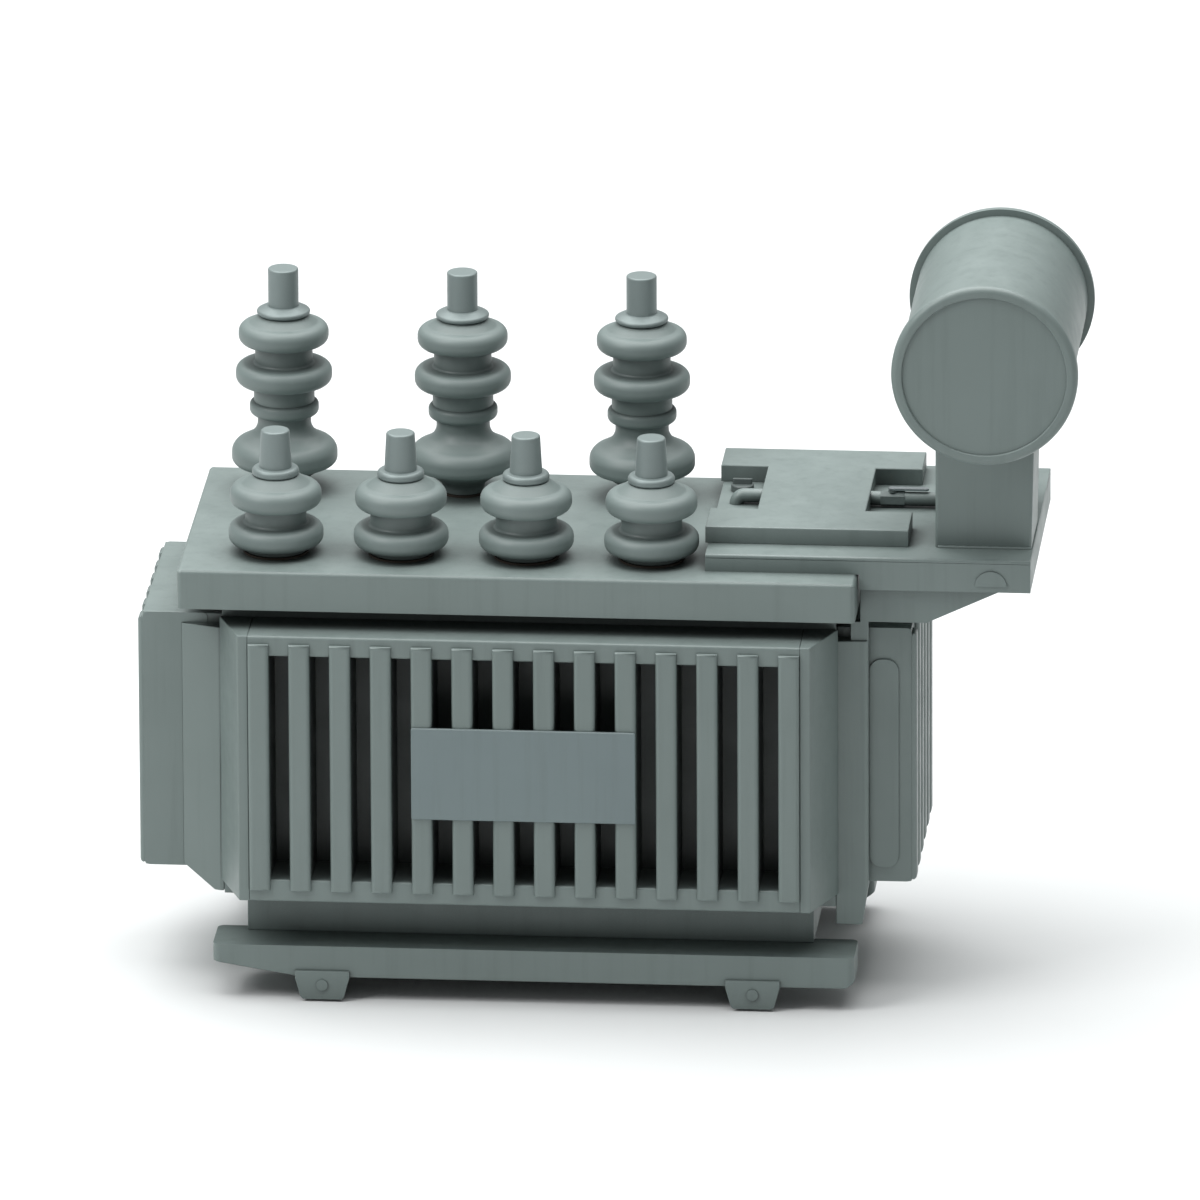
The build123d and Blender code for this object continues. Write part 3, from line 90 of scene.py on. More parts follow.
def addPiece(name, bm, material, node, standsFor=True, smoothAngle=35):
    # a bmesh becomes a piece that rides with the CAD node's body
    mesh = bpy.data.meshes.new(name)
    bm.to_mesh(mesh)
    bm.free()
    for face in mesh.polygons:
        face.use_smooth = True
    mesh.set_sharp_from_angle(angle=radians(smoothAngle))
    mesh.materials.append(material)
    piece = bpy.data.objects.new(name, mesh)
    bpy.context.scene.collection.objects.link(piece)
    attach(piece, bodyOf[node])
    if standsFor:
        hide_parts(node)
    even = piece.modifiers.new("evenFlats", "WEIGHTED_NORMAL")
    even.keep_sharp = True
    even.weight = 100
    return piece


def roundEdges(bm, edges, width, segments):
    bmesh.ops.bevel(bm, geom=edges, offset=width * mm, offset_type="OFFSET", segments=segments,
                    profile=0.5, affect="EDGES", clamp_overlap=False, material=-1)


cadCopy = {"mergeMm": 0.02, "flatDegrees": 0.6}      # loose triangles joined, then flat faces made whole


def mergedCopy(node):
    bm = bmesh.new()
    bm.from_mesh(nodes[node].data)
    bmesh.ops.remove_doubles(bm, verts=bm.verts, dist=cadCopy["mergeMm"] * mm)
    bmesh.ops.dissolve_limit(bm, angle_limit=radians(cadCopy["flatDegrees"]), verts=bm.verts, edges=bm.edges)
    return bm


def softened(name, node, material, width, segments=3, shortest=14, sharpest=32):
    # copy of a CAD node whose long sharp edges are rounded, as folded and ground plate is
    bm = mergedCopy(node)
    if width > 0:
        chosen = [e for e in bm.edges if len(e.link_faces) == 2
                  and e.calc_face_angle_signed(0) > radians(sharpest)
                  and e.calc_length() > shortest * mm]
        roundEdges(bm, chosen, width, segments)
    return addPiece(name, bm, material, node)


def turned(name, outline, centre, material, node, standsFor=True, steps=72):
    # turned or thrown on an upright axis; outline is (radius, height, corner radius) in mm from the centre
    bm = bmesh.new()
    addTurned(bm, outline, centre, steps)
    return addPiece(name, bm, material, node, standsFor)


def addTurned(bm, outline, centre, steps=72):
    shape = bmesh.new()
    points = [shape.verts.new((centre[0] + r * mm, centre[1], centre[2] + h * mm)) for r, h, _ in outline]
    for a, b in zip(points, points[1:]):
        shape.edges.new((a, b))
    for point, (_, _, corner) in zip(points, outline):
        if corner > 0:
            bmesh.ops.bevel(shape, geom=[point], offset=corner * mm, offset_type="OFFSET", segments=6,
                            profile=0.5, affect="VERTICES", clamp_overlap=True, material=-1)
    bmesh.ops.spin(shape, geom=shape.verts[:] + shape.edges[:], cent=(centre[0], centre[1], 0),
                   axis=(0, 0, 1), dvec=(0, 0, 0), angle=2 * pi, steps=steps, use_merge=True,
                   use_duplicate=False)
    bmesh.ops.remove_doubles(shape, verts=shape.verts, dist=0.01 * mm)
    bmesh.ops.recalc_face_normals(shape, faces=shape.faces)
    merged = bpy.data.meshes.new("turnedPart")
    shape.to_mesh(merged)
    shape.free()
    bm.from_mesh(merged)
    bpy.data.meshes.remove(merged)


# materials

enamel = {
    # the near-black #131514 is painted shade, laid into recesses and under overhangs by the ambient-occlusion
    # mask below
    "dark": "#66726f", "light": "#6f7b79", "dust": "#86918f", "grimeAndPaintedShade": "#131514",
    "streak": "#55605e", "streakMm": 22, "streakLengthMm": 420,   # rain runs down the sides
    "paintedShadeReachMm": 130,     # how far apart two faces can stand and still get painted shade between them
    "mottleMm": 240,      # soft cloudiness of a sprayed coat over a metre of plate
    "peelMm": 9,          # orange peel is nearer 3 mm; drawn coarser so that it shows at this size
    "grimeMm": 55,
    "roughness": (0.40, 0.54),
}


def makeEnamel(name, colours, shade=1.0):
    # station enamel, sprayed and air dried: even satin coat with orange peel, faint clouds and settled dust,
    # with painted shade darkening its recesses and the faces under overhangs
    material, tree, shader = newMaterial(name, {"Coat Weight": 0.12, "Coat Roughness": 0.35})
    place = addNode(tree, "ShaderNodeTexCoord")
    clouds = addNode(tree, "ShaderNodeTexNoise",
                     inputs={"Scale": 1 / (colours["mottleMm"] * mm), "Detail": 4},
                     links={"Vector": place.outputs["Object"]})
    grimeAndPaintedShade = addNode(tree, "ShaderNodeTexNoise", inputs={"Scale": 1 / (colours["grimeMm"] * mm), "Detail": 6,
                    "Roughness": 0.62}, links={"Vector": place.outputs["Object"]})
    peel = addNode(tree, "ShaderNodeTexNoise", inputs={"Scale": 1 / (colours["peelMm"] * mm), "Detail": 2},
                   links={"Vector": place.outputs["Object"]})
    paint = addNode(tree, "ShaderNodeMix", {"data_type": "RGBA"}, links={"Factor": clouds.outputs["Fac"]})
    paint.inputs[6].default_value = linear(colours["dark"])
    paint.inputs[7].default_value = linear(colours["light"])
    facing = addNode(tree, "ShaderNodeNewGeometry")
    split = addNode(tree, "ShaderNodeSeparateXYZ", links={"Vector": facing.outputs["Normal"]})
    upward = addNode(tree, "ShaderNodeMapRange", inputs={"From Min": 0.6, "From Max": 1.0, "To Max": 0.55},
                     links={"Value": split.outputs["Z"]})
    settled = addNode(tree, "ShaderNodeMath", {"operation": "MULTIPLY"})
    tree.links.new(upward.outputs["Result"], settled.inputs[0])
    tree.links.new(grimeAndPaintedShade.outputs["Fac"], settled.inputs[1])
    dusty = addNode(tree, "ShaderNodeMix", {"data_type": "RGBA"}, links={"Factor": settled.outputs["Value"]})
    tree.links.new(paint.outputs[2], dusty.inputs[6])
    dusty.inputs[7].default_value = linear(colours["dust"])
    run = addNode(tree, "ShaderNodeMapping", links={"Vector": place.outputs["Object"]})
    run.inputs["Scale"].default_value = (1, 1, colours["streakMm"] / colours["streakLengthMm"])
    rain = addNode(tree, "ShaderNodeTexNoise", inputs={"Scale": 1 / (colours["streakMm"] * mm), "Detail": 5,
                   "Roughness": 0.6}, links={"Vector": run.outputs["Vector"]})
    streaks = addNode(tree, "ShaderNodeMapRange", inputs={"From Min": 0.5, "From Max": 0.78, "To Max": 0.3},
                      links={"Value": rain.outputs["Fac"]})
    washed = addNode(tree, "ShaderNodeMix", {"data_type": "RGBA"},
                     links={"Factor": streaks.outputs["Result"]})
    tree.links.new(dusty.outputs[2], washed.inputs[6])
    washed.inputs[7].default_value = linear(colours["streak"])
    # painted shade: an ambient-occlusion mask darkens the paint towards near-black in slots, necks and under
    # overhangs, where shade falls
    occlusionForShade = addNode(tree, "ShaderNodeAmbientOcclusion", {"samples": 6},
                      inputs={"Distance": colours["paintedShadeReachMm"] * mm})
    paintedShadeAmount = addNode(tree, "ShaderNodeMapRange", inputs={"From Min": 0.08, "From Max": 0.66, "To Min": 0.84,
                      "To Max": 0.0}, links={"Value": occlusionForShade.outputs["AO"]})
    paintedShadeMix = addNode(tree, "ShaderNodeMix", {"data_type": "RGBA"}, links={"Factor": paintedShadeAmount.outputs["Result"]})
    tree.links.new(washed.outputs[2], paintedShadeMix.inputs[6])
    paintedShadeMix.inputs[7].default_value = linear(colours["grimeAndPaintedShade"])
    tree.links.new(paintedShadeMix.outputs[2], shader.inputs["Base Color"])
    low, high = colours["roughness"]
    sheen = addNode(tree, "ShaderNodeMapRange", inputs={"From Min": 0.3, "From Max": 0.7, "To Min": low,
                    "To Max": high}, links={"Value": grimeAndPaintedShade.outputs["Fac"]})
    tree.links.new(sheen.outputs["Result"], shader.inputs["Roughness"])
    bump = addNode(tree, "ShaderNodeBump", inputs={"Strength": 0.2, "Distance": 0.6 * mm},
                   links={"Height": peel.outputs["Fac"]})
    tree.links.new(bump.outputs["Normal"], shader.inputs["Normal"])
    return material


# the near-black #232726 is painted shade for the waists and the undersides of the sheds
glaze = {"body": "#6d7977", "pool": "#64706e", "speck": "#56615f", "grimeAndPaintedShade": "#232726", "flowMm": 70,
         "speckMm": 5}


def makeGlaze():
    # wet-process porcelain, dipped in grey matt glaze: soft broad shine, glaze a little darker where it pooled,
    # with painted shade darkening the waists between the sheds
    material, tree, shader = newMaterial("glazedPorcelain", {"Roughness": 0.52, "Coat Weight": 0.14,
                                         "Coat Roughness": 0.4, "Coat IOR": 1.5})
    place = addNode(tree, "ShaderNodeTexCoord")
    flow = addNode(tree, "ShaderNodeTexNoise", inputs={"Scale": 1 / (glaze["flowMm"] * mm), "Detail": 3},
                   links={"Vector": place.outputs["Object"]})
    specks = addNode(tree, "ShaderNodeTexVoronoi", inputs={"Scale": 1 / (glaze["speckMm"] * mm)},
                     links={"Vector": place.outputs["Object"]})
    body = addNode(tree, "ShaderNodeMix", {"data_type": "RGBA"}, links={"Factor": flow.outputs["Fac"]})
    body.inputs[6].default_value = linear(glaze["pool"])
    body.inputs[7].default_value = linear(glaze["body"])
    dots = addNode(tree, "ShaderNodeMapRange", inputs={"From Min": 0.02, "From Max": 0.12, "To Min": 0.22,
                   "To Max": 0.0}, links={"Value": specks.outputs["Distance"]})
    coloured = addNode(tree, "ShaderNodeMix", {"data_type": "RGBA"}, links={"Factor": dots.outputs["Result"]})
    tree.links.new(body.outputs[2], coloured.inputs[6])
    coloured.inputs[7].default_value = linear(glaze["speck"])
    # painted shade: ambient occlusion darkens the glaze towards near-black between the sheds, where shade falls
    occlusionForShade = addNode(tree, "ShaderNodeAmbientOcclusion", {"samples": 6}, inputs={"Distance": 60 * mm})
    paintedShadeAmount = addNode(tree, "ShaderNodeMapRange", inputs={"From Min": 0.1, "From Max": 0.82, "To Min": 0.8,
                      "To Max": 0.0}, links={"Value": occlusionForShade.outputs["AO"]})
    paintedShadeMix = addNode(tree, "ShaderNodeMix", {"data_type": "RGBA"}, links={"Factor": paintedShadeAmount.outputs["Result"]})
    tree.links.new(coloured.outputs[2], paintedShadeMix.inputs[6])
    paintedShadeMix.inputs[7].default_value = linear(glaze["grimeAndPaintedShade"])
    tree.links.new(paintedShadeMix.outputs[2], shader.inputs["Base Color"])
    bump = addNode(tree, "ShaderNodeBump", inputs={"Strength": 0.15, "Distance": 0.5 * mm},
                   links={"Height": flow.outputs["Fac"]})
    tree.links.new(bump.outputs["Normal"], shader.inputs["Normal"])
    return material


def makeMetal(name, base, tint, roughness, metallic, grainMm, stretch):
    # grain drawn out along one axis, as a lathe, a rolling mill or a brush leaves it
    material, tree, shader = newMaterial(name, {"Metallic": metallic})
    place = addNode(tree, "ShaderNodeTexCoord")
    drawn = addNode(tree, "ShaderNodeMapping", links={"Vector": place.outputs["Object"]})
    drawn.inputs["Scale"].default_value = stretch
    grain = addNode(tree, "ShaderNodeTexNoise", inputs={"Scale": 1 / (grainMm * mm), "Detail": 4},
                    links={"Vector": drawn.outputs["Vector"]})
    colour = addNode(tree, "ShaderNodeMix", {"data_type": "RGBA"}, links={"Factor": grain.outputs["Fac"]})
    colour.inputs[6].default_value = linear(base)
    colour.inputs[7].default_value = linear(tint)
    tree.links.new(colour.outputs[2], shader.inputs["Base Color"])
    rough = addNode(tree, "ShaderNodeMapRange", inputs={"To Min": roughness - 0.08, "To Max": roughness + 0.08},
                    links={"Value": grain.outputs["Fac"]})
    tree.links.new(rough.outputs["Result"], shader.inputs["Roughness"])
    bump = addNode(tree, "ShaderNodeBump", inputs={"Strength": 0.2, "Distance": 0.3 * mm},
                   links={"Height": grain.outputs["Fac"]})
    tree.links.new(bump.outputs["Normal"], shader.inputs["Normal"])
    return material


def makeSoft(name, base, tint, roughness, grainMm, bumpMm):
    # rubber, moulded phenolic, cork, paper and gel: matt body with a fine even grain
    material, tree, shader = newMaterial(name, {"Roughness": roughness, "Specular IOR Level": 0.4})
    place = addNode(tree, "ShaderNodeTexCoord")
    grain = addNode(tree, "ShaderNodeTexNoise", inputs={"Scale": 1 / (grainMm * mm), "Detail": 5},
                    links={"Vector": place.outputs["Object"]})
    colour = addNode(tree, "ShaderNodeMix", {"data_type": "RGBA"}, links={"Factor": grain.outputs["Fac"]})
    colour.inputs[6].default_value = linear(base)
    colour.inputs[7].default_value = linear(tint)
    tree.links.new(colour.outputs[2], shader.inputs["Base Color"])
    bump = addNode(tree, "ShaderNodeBump", inputs={"Strength": 0.3, "Distance": bumpMm * mm},
                   links={"Height": grain.outputs["Fac"]})
    tree.links.new(bump.outputs["Normal"], shader.inputs["Normal"])
    return material


def makeGlass():
    # moulded soda-lime glass: clear, with a slight wave from the mould
    material, tree, shader = newMaterial("mouldedGlass", {"Base Color": linear("#eef4f2"), "IOR": 1.5,
                                         "Roughness": 0.04, "Transmission Weight": 1.0})
    place = addNode(tree, "ShaderNodeTexCoord")
    wave = addNode(tree, "ShaderNodeTexNoise", inputs={"Scale": 1 / (18 * mm), "Detail": 1},
                   links={"Vector": place.outputs["Object"]})
    bump = addNode(tree, "ShaderNodeBump", inputs={"Strength": 0.08, "Distance": 0.5 * mm},
                   links={"Height": wave.outputs["Fac"]})
    tree.links.new(bump.outputs["Normal"], shader.inputs["Normal"])
    return material


def makeWrapped():
    # paper-wrapped winding strip: turns lie 9 mm apart up the coil
    material, tree, shader = newMaterial("paperWrappedStrip", {"Roughness": 0.75})
    place = addNode(tree, "ShaderNodeTexCoord")
    turns = addNode(tree, "ShaderNodeTexWave", {"bands_direction": "Z"}, inputs={"Scale": 0.314 / (9 * mm),
                    "Distortion": 0.4, "Detail": 2}, links={"Vector": place.outputs["Object"]})
    colour = addNode(tree, "ShaderNodeMix", {"data_type": "RGBA"}, links={"Factor": turns.outputs["Fac"]})
    colour.inputs[6].default_value = linear("#8a6a42")
    colour.inputs[7].default_value = linear("#c4a06a")
    tree.links.new(colour.outputs[2], shader.inputs["Base Color"])
    bump = addNode(tree, "ShaderNodeBump", inputs={"Strength": 0.6, "Distance": 1.5 * mm},
                   links={"Height": turns.outputs["Fac"]})
    tree.links.new(bump.outputs["Normal"], shader.inputs["Normal"])
    return material


paint = makeEnamel("sprayedStationEnamel", enamel)
platePaint = makeEnamel("enamelledNameplate", {**enamel, "dark": "#647173", "light": "#6c7a7b", "peelMm": 5})
porcelain = makeGlaze()
tinned = makeMetal("tinnedCopperTurned", "#707b7a", "#7e8988", 0.48, 0.3, 4, (1, 1, 8))
zinc = makeMetal("zincPlatedSteel", "#9aa2a4", "#b4bbbd", 0.38, 1.0, 3, (1, 1, 1))
brassCast = makeMetal("castBrass", "#9c8454", "#b79c66", 0.42, 1.0, 4, (1, 1, 1))
siliconSteel = makeMetal("siliconSteelLaminations", "#6b7076", "#8b9096", 0.4, 1.0, 3, (1, 14, 1))
castIron = makeSoft("paintedCastIron", "#525c5a", "#5f6968", 0.55, 3, 0.8)
corkRubber = makeSoft("corkRubberGasket", "#2b2621", "#3d342c", 0.85, 2.5, 0.4)
phenolic = makeSoft("mouldedPhenolic", "#4c5453", "#575f5e", 0.42, 1.5, 0.1)
gelBeads = makeSoft("silicaGelBeads", "#b3601c", "#d88a3a", 0.25, 6, 0.2)
glass = makeGlass()
wrapped = makeWrapped()
dialWhite = makeSoft("enamelledDial", "#e7e6df", "#f0efe9", 0.3, 30, 0.05)
inkBlack = makeSoft("printedInk", "#17181a", "#202123", 0.5, 10, 0.02)
pointerRed = makeSoft("pointerLacquer", "#8e1f1b", "#a02a22", 0.35, 4, 0.05)

slotMaterial = {
    "grey_paint": paint, "porcelain": porcelain, "plated_metal": tinned, "cork_rubber": corkRubber,
    "cast_iron": castIron, "moulded_plastic": phenolic, "clear_glass": glass, "drying_agent": gelBeads,
    "core_steel": siliconSteel, "winding": wrapped,
}
for name, node in nodes.items():
    node.data.materials.clear()
    node.data.materials.append(slotMaterial[slotOf[name]])
nodes["roller_axles"].data.materials[0] = paint
for name in ("lid_bolts", "stud_nuts", "pipe_valve_lever"):
    nodes[name].data.materials[0] = zinc
nodes["oil_gauge_pointer"].data.materials[0] = pointerRed
print("materials ready")


# folded and welded plate, with its edges rounded

rounding = {   # node: edge radius in mm
    "lid": 2.2, "skids": 2.5, "cross_beams": 2, "plinth": 1.5, "corner_posts": 2.5,
    "radiator_end_plates": 2.5, "platform_plate": 1.6, "platform_beams": 0, "gussets": 1.6,
    "pipe_guard": 1.0, "pillar": 2.0, "nameplate": 0.5, "roller_cheeks": 1.4, "tank": 1.5,
    "long_headers": 2.5, "side_headers": 2.5,
    "drum": 0, "drum_front_cap": 0, "drum_rear_cap": 0, "conservator_pipe": 0, "breather_pipe": 0,
    "oil_gauge_case": 0, "drain_valve_body": 0.6, "drain_handwheel": 0, "pipe_valve_body": 0.6,
    "pipe_valve_lever": 0.8, "tap_changer_knob": 0.8, "tap_changer_shaft": 0,
    "roller_front_left": 0, "roller_front_right": 0, "roller_rear_left": 0, "roller_rear_right": 0,
}
ownMaterial = {"nameplate": platePaint, "pipe_valve_lever": zinc, "pipe_valve_body": castIron,
               "drain_valve_body": brassCast}
for node, width in rounding.items():
    material = ownMaterial.get(node, slotMaterial[slotOf[node]])
    softened(node + "_finished", node, material, width)


noseRound = {"width": 5, "reach": 8.5, "endMm": 0.1, "segments": 4}


def makeFins(node, axis):
    # pressed fins: the nose of each is rounded over at its top and foot, where the light catches it
    bm = mergedCopy(node)
    low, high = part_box(node)
    chosen = []
    for edge in bm.edges:
        a, b = (v.co for v in edge.verts)
        atEnd = all(min(abs(p.z - low.z), abs(p.z - high.z)) < noseRound["endMm"] * mm for p in (a, b))
        middle = (a + b) / 2
        outer = min(abs(middle[axis] - low[axis]), abs(middle[axis] - high[axis])) < noseRound["reach"] * mm
        if atEnd and outer and len(edge.link_faces) == 2 and edge.calc_face_angle(0) > radians(60):
            chosen.append(edge)
    bmesh.ops.bevel(bm, geom=chosen, offset=noseRound["width"] * mm, offset_type="OFFSET",
                    segments=noseRound["segments"],
                    profile=0.5, affect="EDGES", clamp_overlap=True, material=-1)
    addPiece(node + "_pressed", bm, paint, node)


makeFins("long_fins", 1)
makeFins("side_fins", 0)
print("plate pieces ready")


# porcelain bushings: (radius, height over the lid, corner radius) in mm

highVoltage = {
    "outline": [
        (14.5, 4, 0), (40, 4, 2), (40, 20, 8), (76, 46, 16), (101, 54, 15), (101, 92, 17), (80, 100, 12),
        (51, 118, 16), (51, 150, 5), (66, 150, 11), (66, 176, 11), (58, 177, 4), (58, 210, 5), (92, 210, 17),
        (92, 252, 17), (55, 252, 5), (55, 291, 5), (86, 291, 16), (86, 331, 17), (66, 332, 8), (45, 348, 3),
        (14.5, 348, 0),
    ],
}
lowVoltage = {
    "outline": [
        (14.5, 4, 0), (60, 4, 3), (60, 16, 5), (90, 16, 17), (90, 58, 17), (58, 58, 6), (58, 92, 6),
        (87, 92, 17), (87, 134, 18), (66, 135, 8), (44, 152, 3), (14.5, 152, 0),
    ],
}
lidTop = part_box("lid")[1].z
for number in (1, 2, 3):
    node = f"hv_insulator_{number}"
    middle = middleOf(node)
    turned(node + "_glazed", highVoltage["outline"], (middle.x, middle.y, lidTop), porcelain, node, steps=96)
for number in (1, 2, 3, 4):
    node = f"lv_insulator_{number}"
    middle = middleOf(node)
    turned(node + "_glazed", lowVoltage["outline"], (middle.x, middle.y, lidTop), porcelain, node, steps=96)
print("bushings ready")

terminals = {
    "hvCap": [(14, 348, 0), (44, 348, 2), (51, 349, 5), (51, 357, 5), (40, 363, 5), (33, 366, 2), (14, 366, 0)],
    "lvCap": [(14, 152, 0), (38, 152, 3), (44.5, 153, 6), (44.5, 167, 7), (32, 168, 1), (14, 168, 0)],
    "hvStud": [(0, 365, 0), (29, 365, 0), (29, 440, 3.5), (0, 440, 0)],
    "lvStud": [(0, 167, 0), (31, 167, 0), (27, 241, 4), (0, 241, 0)],
}


def makeTerminals(capName, studName, insulators, studNode):
    caps = bmesh.new()
    studs = bmesh.new()
    for node in insulators:
        middle = middleOf(node)
        addTurned(caps, terminals[capName], (middle.x, middle.y, lidTop))
        addTurned(studs, terminals[studName], (middle.x, middle.y, lidTop))
    addPiece(studNode + "_turned", studs, tinned, studNode)
    return caps


hvCaps = makeTerminals("hvCap", "hvStud", [f"hv_insulator_{i}" for i in (1, 2, 3)], "hv_studs")
lvCaps = makeTerminals("lvCap", "lvStud", [f"lv_insulator_{i}" for i in (1, 2, 3, 4)], "lv_studs")
addPiece("hvCapsTurned", hvCaps, tinned, "bushing_caps")
addPiece("lvCapsTurned", lvCaps, tinned, "bushing_caps")
print("terminals ready")


# end panels of the two end radiators

endPanel = {
    "thickness": 1.5, "corner": 9, "edge": 0.9, "hidden": 50, "noseShows": 10, "sink": 1,
    "stripWidth": 56, "stripRise": 6, "stripTop": 62, "stripFoot": 29, "stripEnd": 24,
}


def addPlate(bm, low, high, corner, edge, axis):
    # flat pressing between two corners in mm: its outline rounded round the axis, its rims eased
    size = [(b - a) * mm for a, b in zip(low, high)]
    centre = Vector([(a + b) / 2 * mm for a, b in zip(low, high)])
    made = bmesh.ops.create_cube(bm, size=1)
    verts = made["verts"]
    bmesh.ops.scale(bm, vec=size, verts=verts)
    bmesh.ops.translate(bm, vec=centre, verts=verts)
    edges = {e for v in verts for e in v.link_edges}
    upright = [e for e in edges if abs((e.verts[0].co - e.verts[1].co)[axis]) > 0.5 * size[axis]]
    rounded = bmesh.ops.bevel(bm, geom=upright, offset=corner * mm, offset_type="OFFSET", segments=6,
                              profile=0.5, affect="EDGES", clamp_overlap=True, material=-1)
    body = {f for v in rounded["verts"] for f in v.link_faces}
    rims = {e for f in body for e in f.edges if abs((e.verts[0].co - e.verts[1].co)[axis]) < 1e-6
            and e.calc_face_angle(0) > radians(60)}
    roundEdges(bm, list(rims), edge, 2)


def makeEndPanels():
    headerLow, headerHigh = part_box("side_headers")
    finLow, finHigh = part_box("side_fins")
    postLow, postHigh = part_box("corner_posts")
    panels = bmesh.new()
    strips = bmesh.new()
    for post, nose in ((postHigh.x, finHigh.x), (postLow.x, finLow.x)):
        end = 1 if nose > 0 else -1
        xs = sorted((post / mm - end * endPanel["hidden"], nose / mm - end * endPanel["noseShows"]))
        stripXs = sorted((post / mm, post / mm + end * endPanel["stripWidth"]))
        for side in (-1, 1):
            face = headerHigh.y / mm * side
            plates = [(panels, xs, 0, 0, endPanel["thickness"], endPanel["corner"])]
            if end > 0:      # only the right radiator carries the raised strip
                plates.append((strips, stripXs, endPanel["stripFoot"], endPanel["stripTop"],
                               endPanel["stripRise"], endPanel["stripEnd"]))
            for target, (left, right), foot, top, proud, corner in plates:
                ys = sorted((face - side * endPanel["sink"], face + side * proud))
                addPlate(target, (left, ys[0], headerLow.z / mm + foot),
                         (right, ys[1], headerHigh.z / mm - top), corner, endPanel["edge"], 1)
    addPiece("endPanelPlates", panels, paint, "side_headers", standsFor=False)
    addPiece("endPanelStrips", strips, paint, "side_headers", standsFor=False)


makeEndPanels()
print("end panels ready")


# weld beads

weld = {"radius": 3.2, "sink": 0.8, "rippleMm": 7, "swell": 0.16, "swellStep": 2.1,
        "leftInset": 5, "rightInset": 7, "saddleSteps": 40, "sides": 8}


def addBead(bm, points, radius):
    # one run of weld along points in metres: a thin round bead, swept from ring to ring
    last = None
    for index, point in enumerate(points):
        before = points[max(index - 1, 0)]
        after = points[min(index + 1, len(points) - 1)]
        turn = (after - before).to_track_quat("Z", "Y").to_matrix().to_4x4()
        swell = 1 + weld["swell"] * math.sin(index * weld["swellStep"])
        ring = bmesh.ops.create_circle(bm, cap_ends=index in (0, len(points) - 1), segments=weld["sides"],
                                       radius=radius * swell * mm,
                                       matrix=Matrix.Translation(point) @ turn)["verts"]
        edges = list({e for v in ring for e in v.link_edges if all(w in ring for w in e.verts)})
        if last:
            bmesh.ops.bridge_loops(bm, edges=last + edges)
        last = edges


def runOf(start, end, step):
    start, end = Vector(start), Vector(end)
    count = max(2, int((end - start).length / (step * mm)))
    return [start.lerp(end, i / count) for i in range(count + 1)]


def makeWelds():
    beads = bmesh.new()
    pillarLow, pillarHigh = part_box("pillar")
    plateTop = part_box("platform_plate")[1].z
    foot = plateTop + weld["sink"] * mm
    left = pillarLow.x + weld["leftInset"] * mm
    right = pillarHigh.x - weld["rightInset"] * mm
    front, rear = pillarLow.y, pillarHigh.y
    for a, b in (((left, front), (right, front)), ((left, rear), (right, rear)), ((left, front), (left, rear))):
        addBead(beads, runOf((*a, foot), (*b, foot), weld["rippleMm"]), weld["radius"])
    drumLow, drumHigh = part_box("drum")
    centre = (drumLow + drumHigh) / 2
    radius = (drumHigh.x - drumLow.x) / 2
    for y in (front, rear):
        start = math.asin(max(-1, (pillarLow.x - centre.x) / radius))
        stop = math.asin(min(1, (pillarHigh.x - centre.x) / radius))
        steps = weld["saddleSteps"]
        arc = [start + (stop - start) * i / steps for i in range(steps + 1)]
        points = [Vector((centre.x + radius * math.sin(a), y, centre.z - radius * math.cos(a))) for a in arc]
        addBead(beads, points, weld["radius"])
    bmesh.ops.recalc_face_normals(beads, faces=beads.faces)
    addPiece("weldBeads", beads, paint, "pillar", standsFor=False, smoothAngle=60)


makeWelds()
print("welds ready")


# oil gauge dial and the drying agent's beads

dial = {
    "radius": 44, "thickness": 1, "caseFloor": 4,
    "tickIn": 33, "tickOut": 41, "tickWidth": 1.6, "tickThickness": 0.4, "tickHeight": 1.2,
    "tickCount": 7, "longEvery": 3, "shortShare": 0.6, "from": -45, "to": 40,
}
beadFill = {"bead": 2.9, "rowStep": 5.2, "coreShrink": 4.5}


def makeDial():
    caseLow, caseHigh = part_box("oil_gauge_case")
    middle = (caseLow + caseHigh) / 2
    floorY = caseLow.y + dial["caseFloor"] * mm
    faceY = floorY + dial["thickness"] / 2 * mm
    turn = Matrix.Rotation(radians(90), 4, "X")
    plate = bmesh.new()
    bmesh.ops.create_cone(plate, cap_ends=True, segments=72, radius1=dial["radius"] * mm,
                          radius2=dial["radius"] * mm, depth=dial["thickness"] * mm,
                          matrix=Matrix.Translation((middle.x, faceY, middle.z)) @ turn)
    addPiece("dialPlate", plate, dialWhite, "oil_gauge_case", standsFor=False)
    ticks = bmesh.new()
    last = dial["tickCount"] - 1
    for i in range(dial["tickCount"]):
        angle = radians(dial["from"] + (dial["to"] - dial["from"]) * i / last)
        reach = (dial["tickIn"] + dial["tickOut"]) / 2 * mm
        share = 1 if i % dial["longEvery"] == 0 else dial["shortShare"]
        length = (dial["tickOut"] - dial["tickIn"]) * share * mm
        made = bmesh.ops.create_cube(ticks, size=1)["verts"]
        bmesh.ops.scale(ticks, vec=(length, dial["tickThickness"] * mm, dial["tickWidth"] * mm), verts=made)
        bmesh.ops.translate(ticks, vec=(-reach, 0, 0), verts=made)
        bmesh.ops.rotate(ticks, cent=(0, 0, 0), matrix=Matrix.Rotation(angle, 3, "Y"), verts=made)
        bmesh.ops.translate(ticks, vec=(middle.x, floorY + dial["tickHeight"] * mm, middle.z), verts=made)
    addPiece("dialTicks", ticks, inkBlack, "oil_gauge_case", standsFor=False)


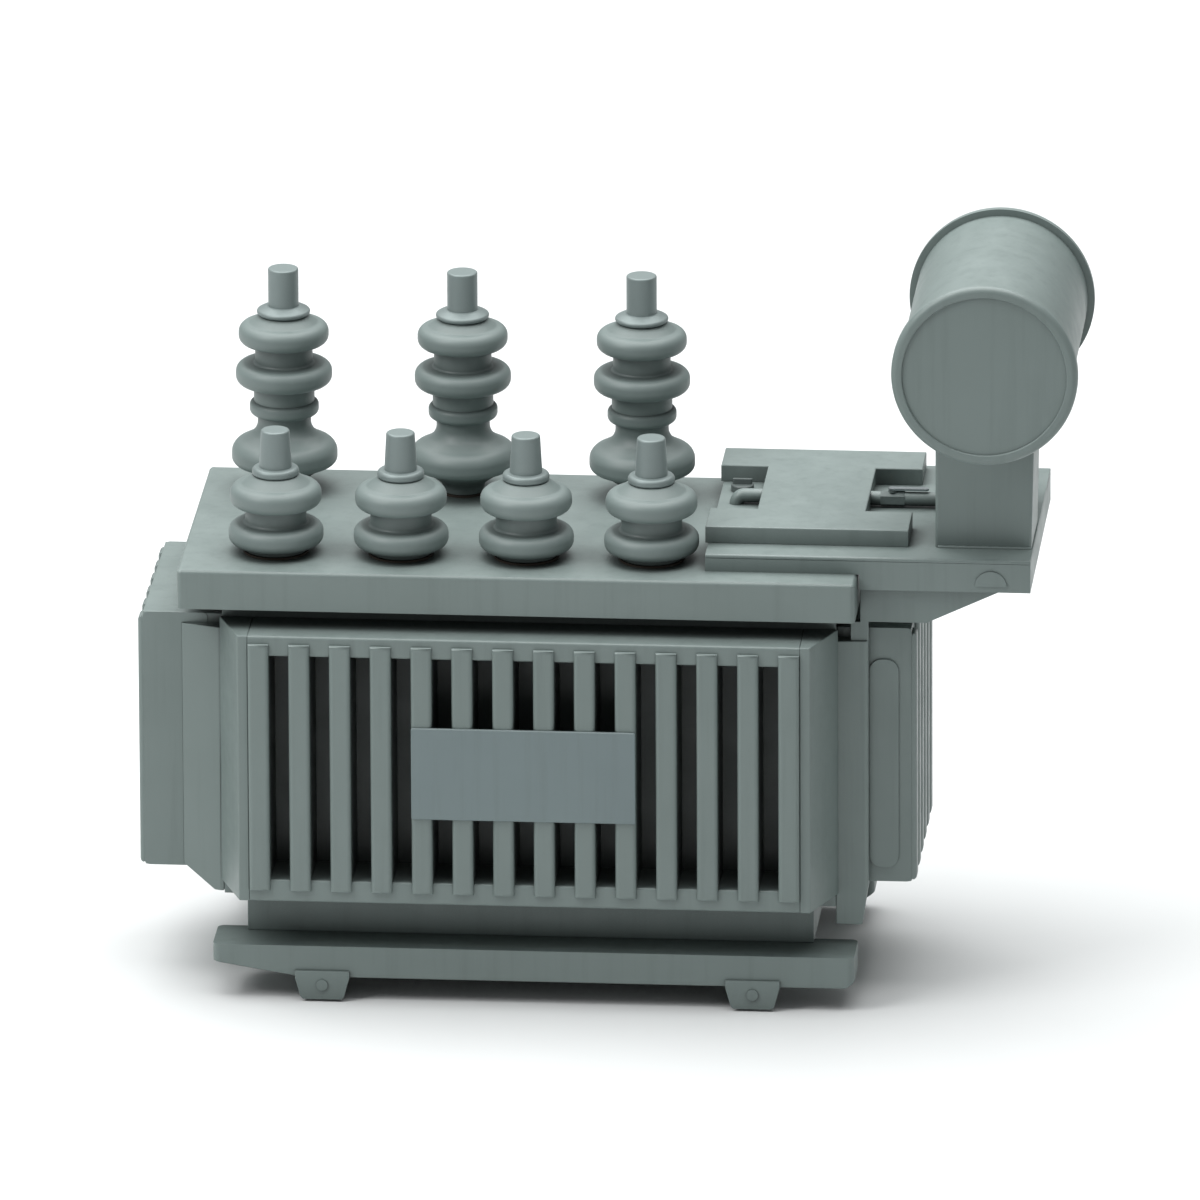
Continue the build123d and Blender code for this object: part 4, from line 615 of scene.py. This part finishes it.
def makeDryingBeads():
    low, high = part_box("breather_gel")
    middle = (low + high) / 2
    radius = (high.x - low.x) / 2 / mm
    beads = bmesh.new()
    bead = beadFill["bead"]
    rows = int((high.z - low.z) / mm / beadFill["rowStep"])
    for row in range(rows):
        around = int(2 * pi * (radius - bead) / (2 * bead))
        for i in range(around):
            angle = 2 * pi * (i + 0.5 * (row % 2)) / around
            place = (middle.x + (radius - bead) * math.cos(angle) * mm,
                     middle.y + (radius - bead) * math.sin(angle) * mm,
                     low.z + (bead + row * beadFill["rowStep"]) * mm)
            bmesh.ops.create_icosphere(beads, subdivisions=1, radius=bead * mm,
                                       matrix=Matrix.Translation(place))
    bmesh.ops.create_cone(beads, cap_ends=True, segments=48, radius1=(radius - beadFill["coreShrink"]) * mm,
                          radius2=(radius - beadFill["coreShrink"]) * mm, depth=high.z - low.z,
                          matrix=Matrix.Translation(middle))
    addPiece("silicaGelFill", beads, gelBeads, "breather_gel", smoothAngle=60)


makeDial()
makeDryingBeads()
print("gauge and breather ready")


# camera, light and floor

view = {"yaw": 4.89, "pitch": 18.23, "roll": -0.27, "distance": 46.2, "lens": 733.9,
        "aim": (0.1430, -0.3224, 0.8141)}


def addCamera():
    yaw, pitch = radians(view["yaw"]), radians(view["pitch"])
    forward = Vector((-math.sin(yaw) * math.cos(pitch), math.cos(yaw) * math.cos(pitch), -math.sin(pitch)))
    data = bpy.data.cameras.new("studioCamera")
    data.lens = view["lens"]
    data.sensor_width = 36
    data.clip_end = 200
    camera = bpy.data.objects.new("studioCamera", data)
    bpy.context.scene.collection.objects.link(camera)
    camera.location = Vector(view["aim"]) - forward * view["distance"]
    turn = forward.to_track_quat("-Z", "Y").to_matrix().to_4x4()
    camera.rotation_euler = (turn @ Matrix.Rotation(radians(view["roll"]), 4, "Z")).to_euler()
    bpy.context.scene.camera = camera


lights = {   # name: place, aim, size in metres, watts
    "keySoftbox": ((-4.6, -3.4, 5.4), (0.1, 0, 0.7), 2.6, 200),
    "topSoftbox": ((-0.9, 1.8, 9.0), (-0.6, 1.8, 0), 12.0, 1850),
}


def addLights():
    for name, (place, aim, size, watts) in lights.items():
        data = bpy.data.lights.new(name, "AREA")
        data.shape = "SQUARE"
        data.size = size
        data.energy = watts
        lamp = bpy.data.objects.new(name, data)
        lamp.location = place
        lamp.rotation_euler = (Vector(aim) - Vector(place)).to_track_quat("-Z", "Y").to_euler()
        bpy.context.scene.collection.objects.link(lamp)
    world = bpy.data.worlds.new("studioAir")
    world.use_nodes = True
    world.node_tree.nodes["Background"].inputs["Color"].default_value = linear("#f4f7f8")
    world.node_tree.nodes["Background"].inputs["Strength"].default_value = 0.36
    bpy.context.scene.world = world


def addFloor():
    # painted studio floor: pale, with a very faint roller texture
    bm = bmesh.new()
    bmesh.ops.create_grid(bm, x_segments=8, y_segments=8, size=40)
    mesh = bpy.data.meshes.new("studioFloor")
    bm.to_mesh(mesh)
    bm.free()
    floor = bpy.data.objects.new("studioFloor", mesh)
    bpy.context.scene.collection.objects.link(floor)
    mesh.materials.append(makeSoft("rolledFloorPaint", "#d6d8d8", "#dadcdc", 0.9, 400, 0.2))


addCamera()
addLights()
addFloor()
bpy.context.scene.view_settings.view_transform = "Standard"
print("studio ready")
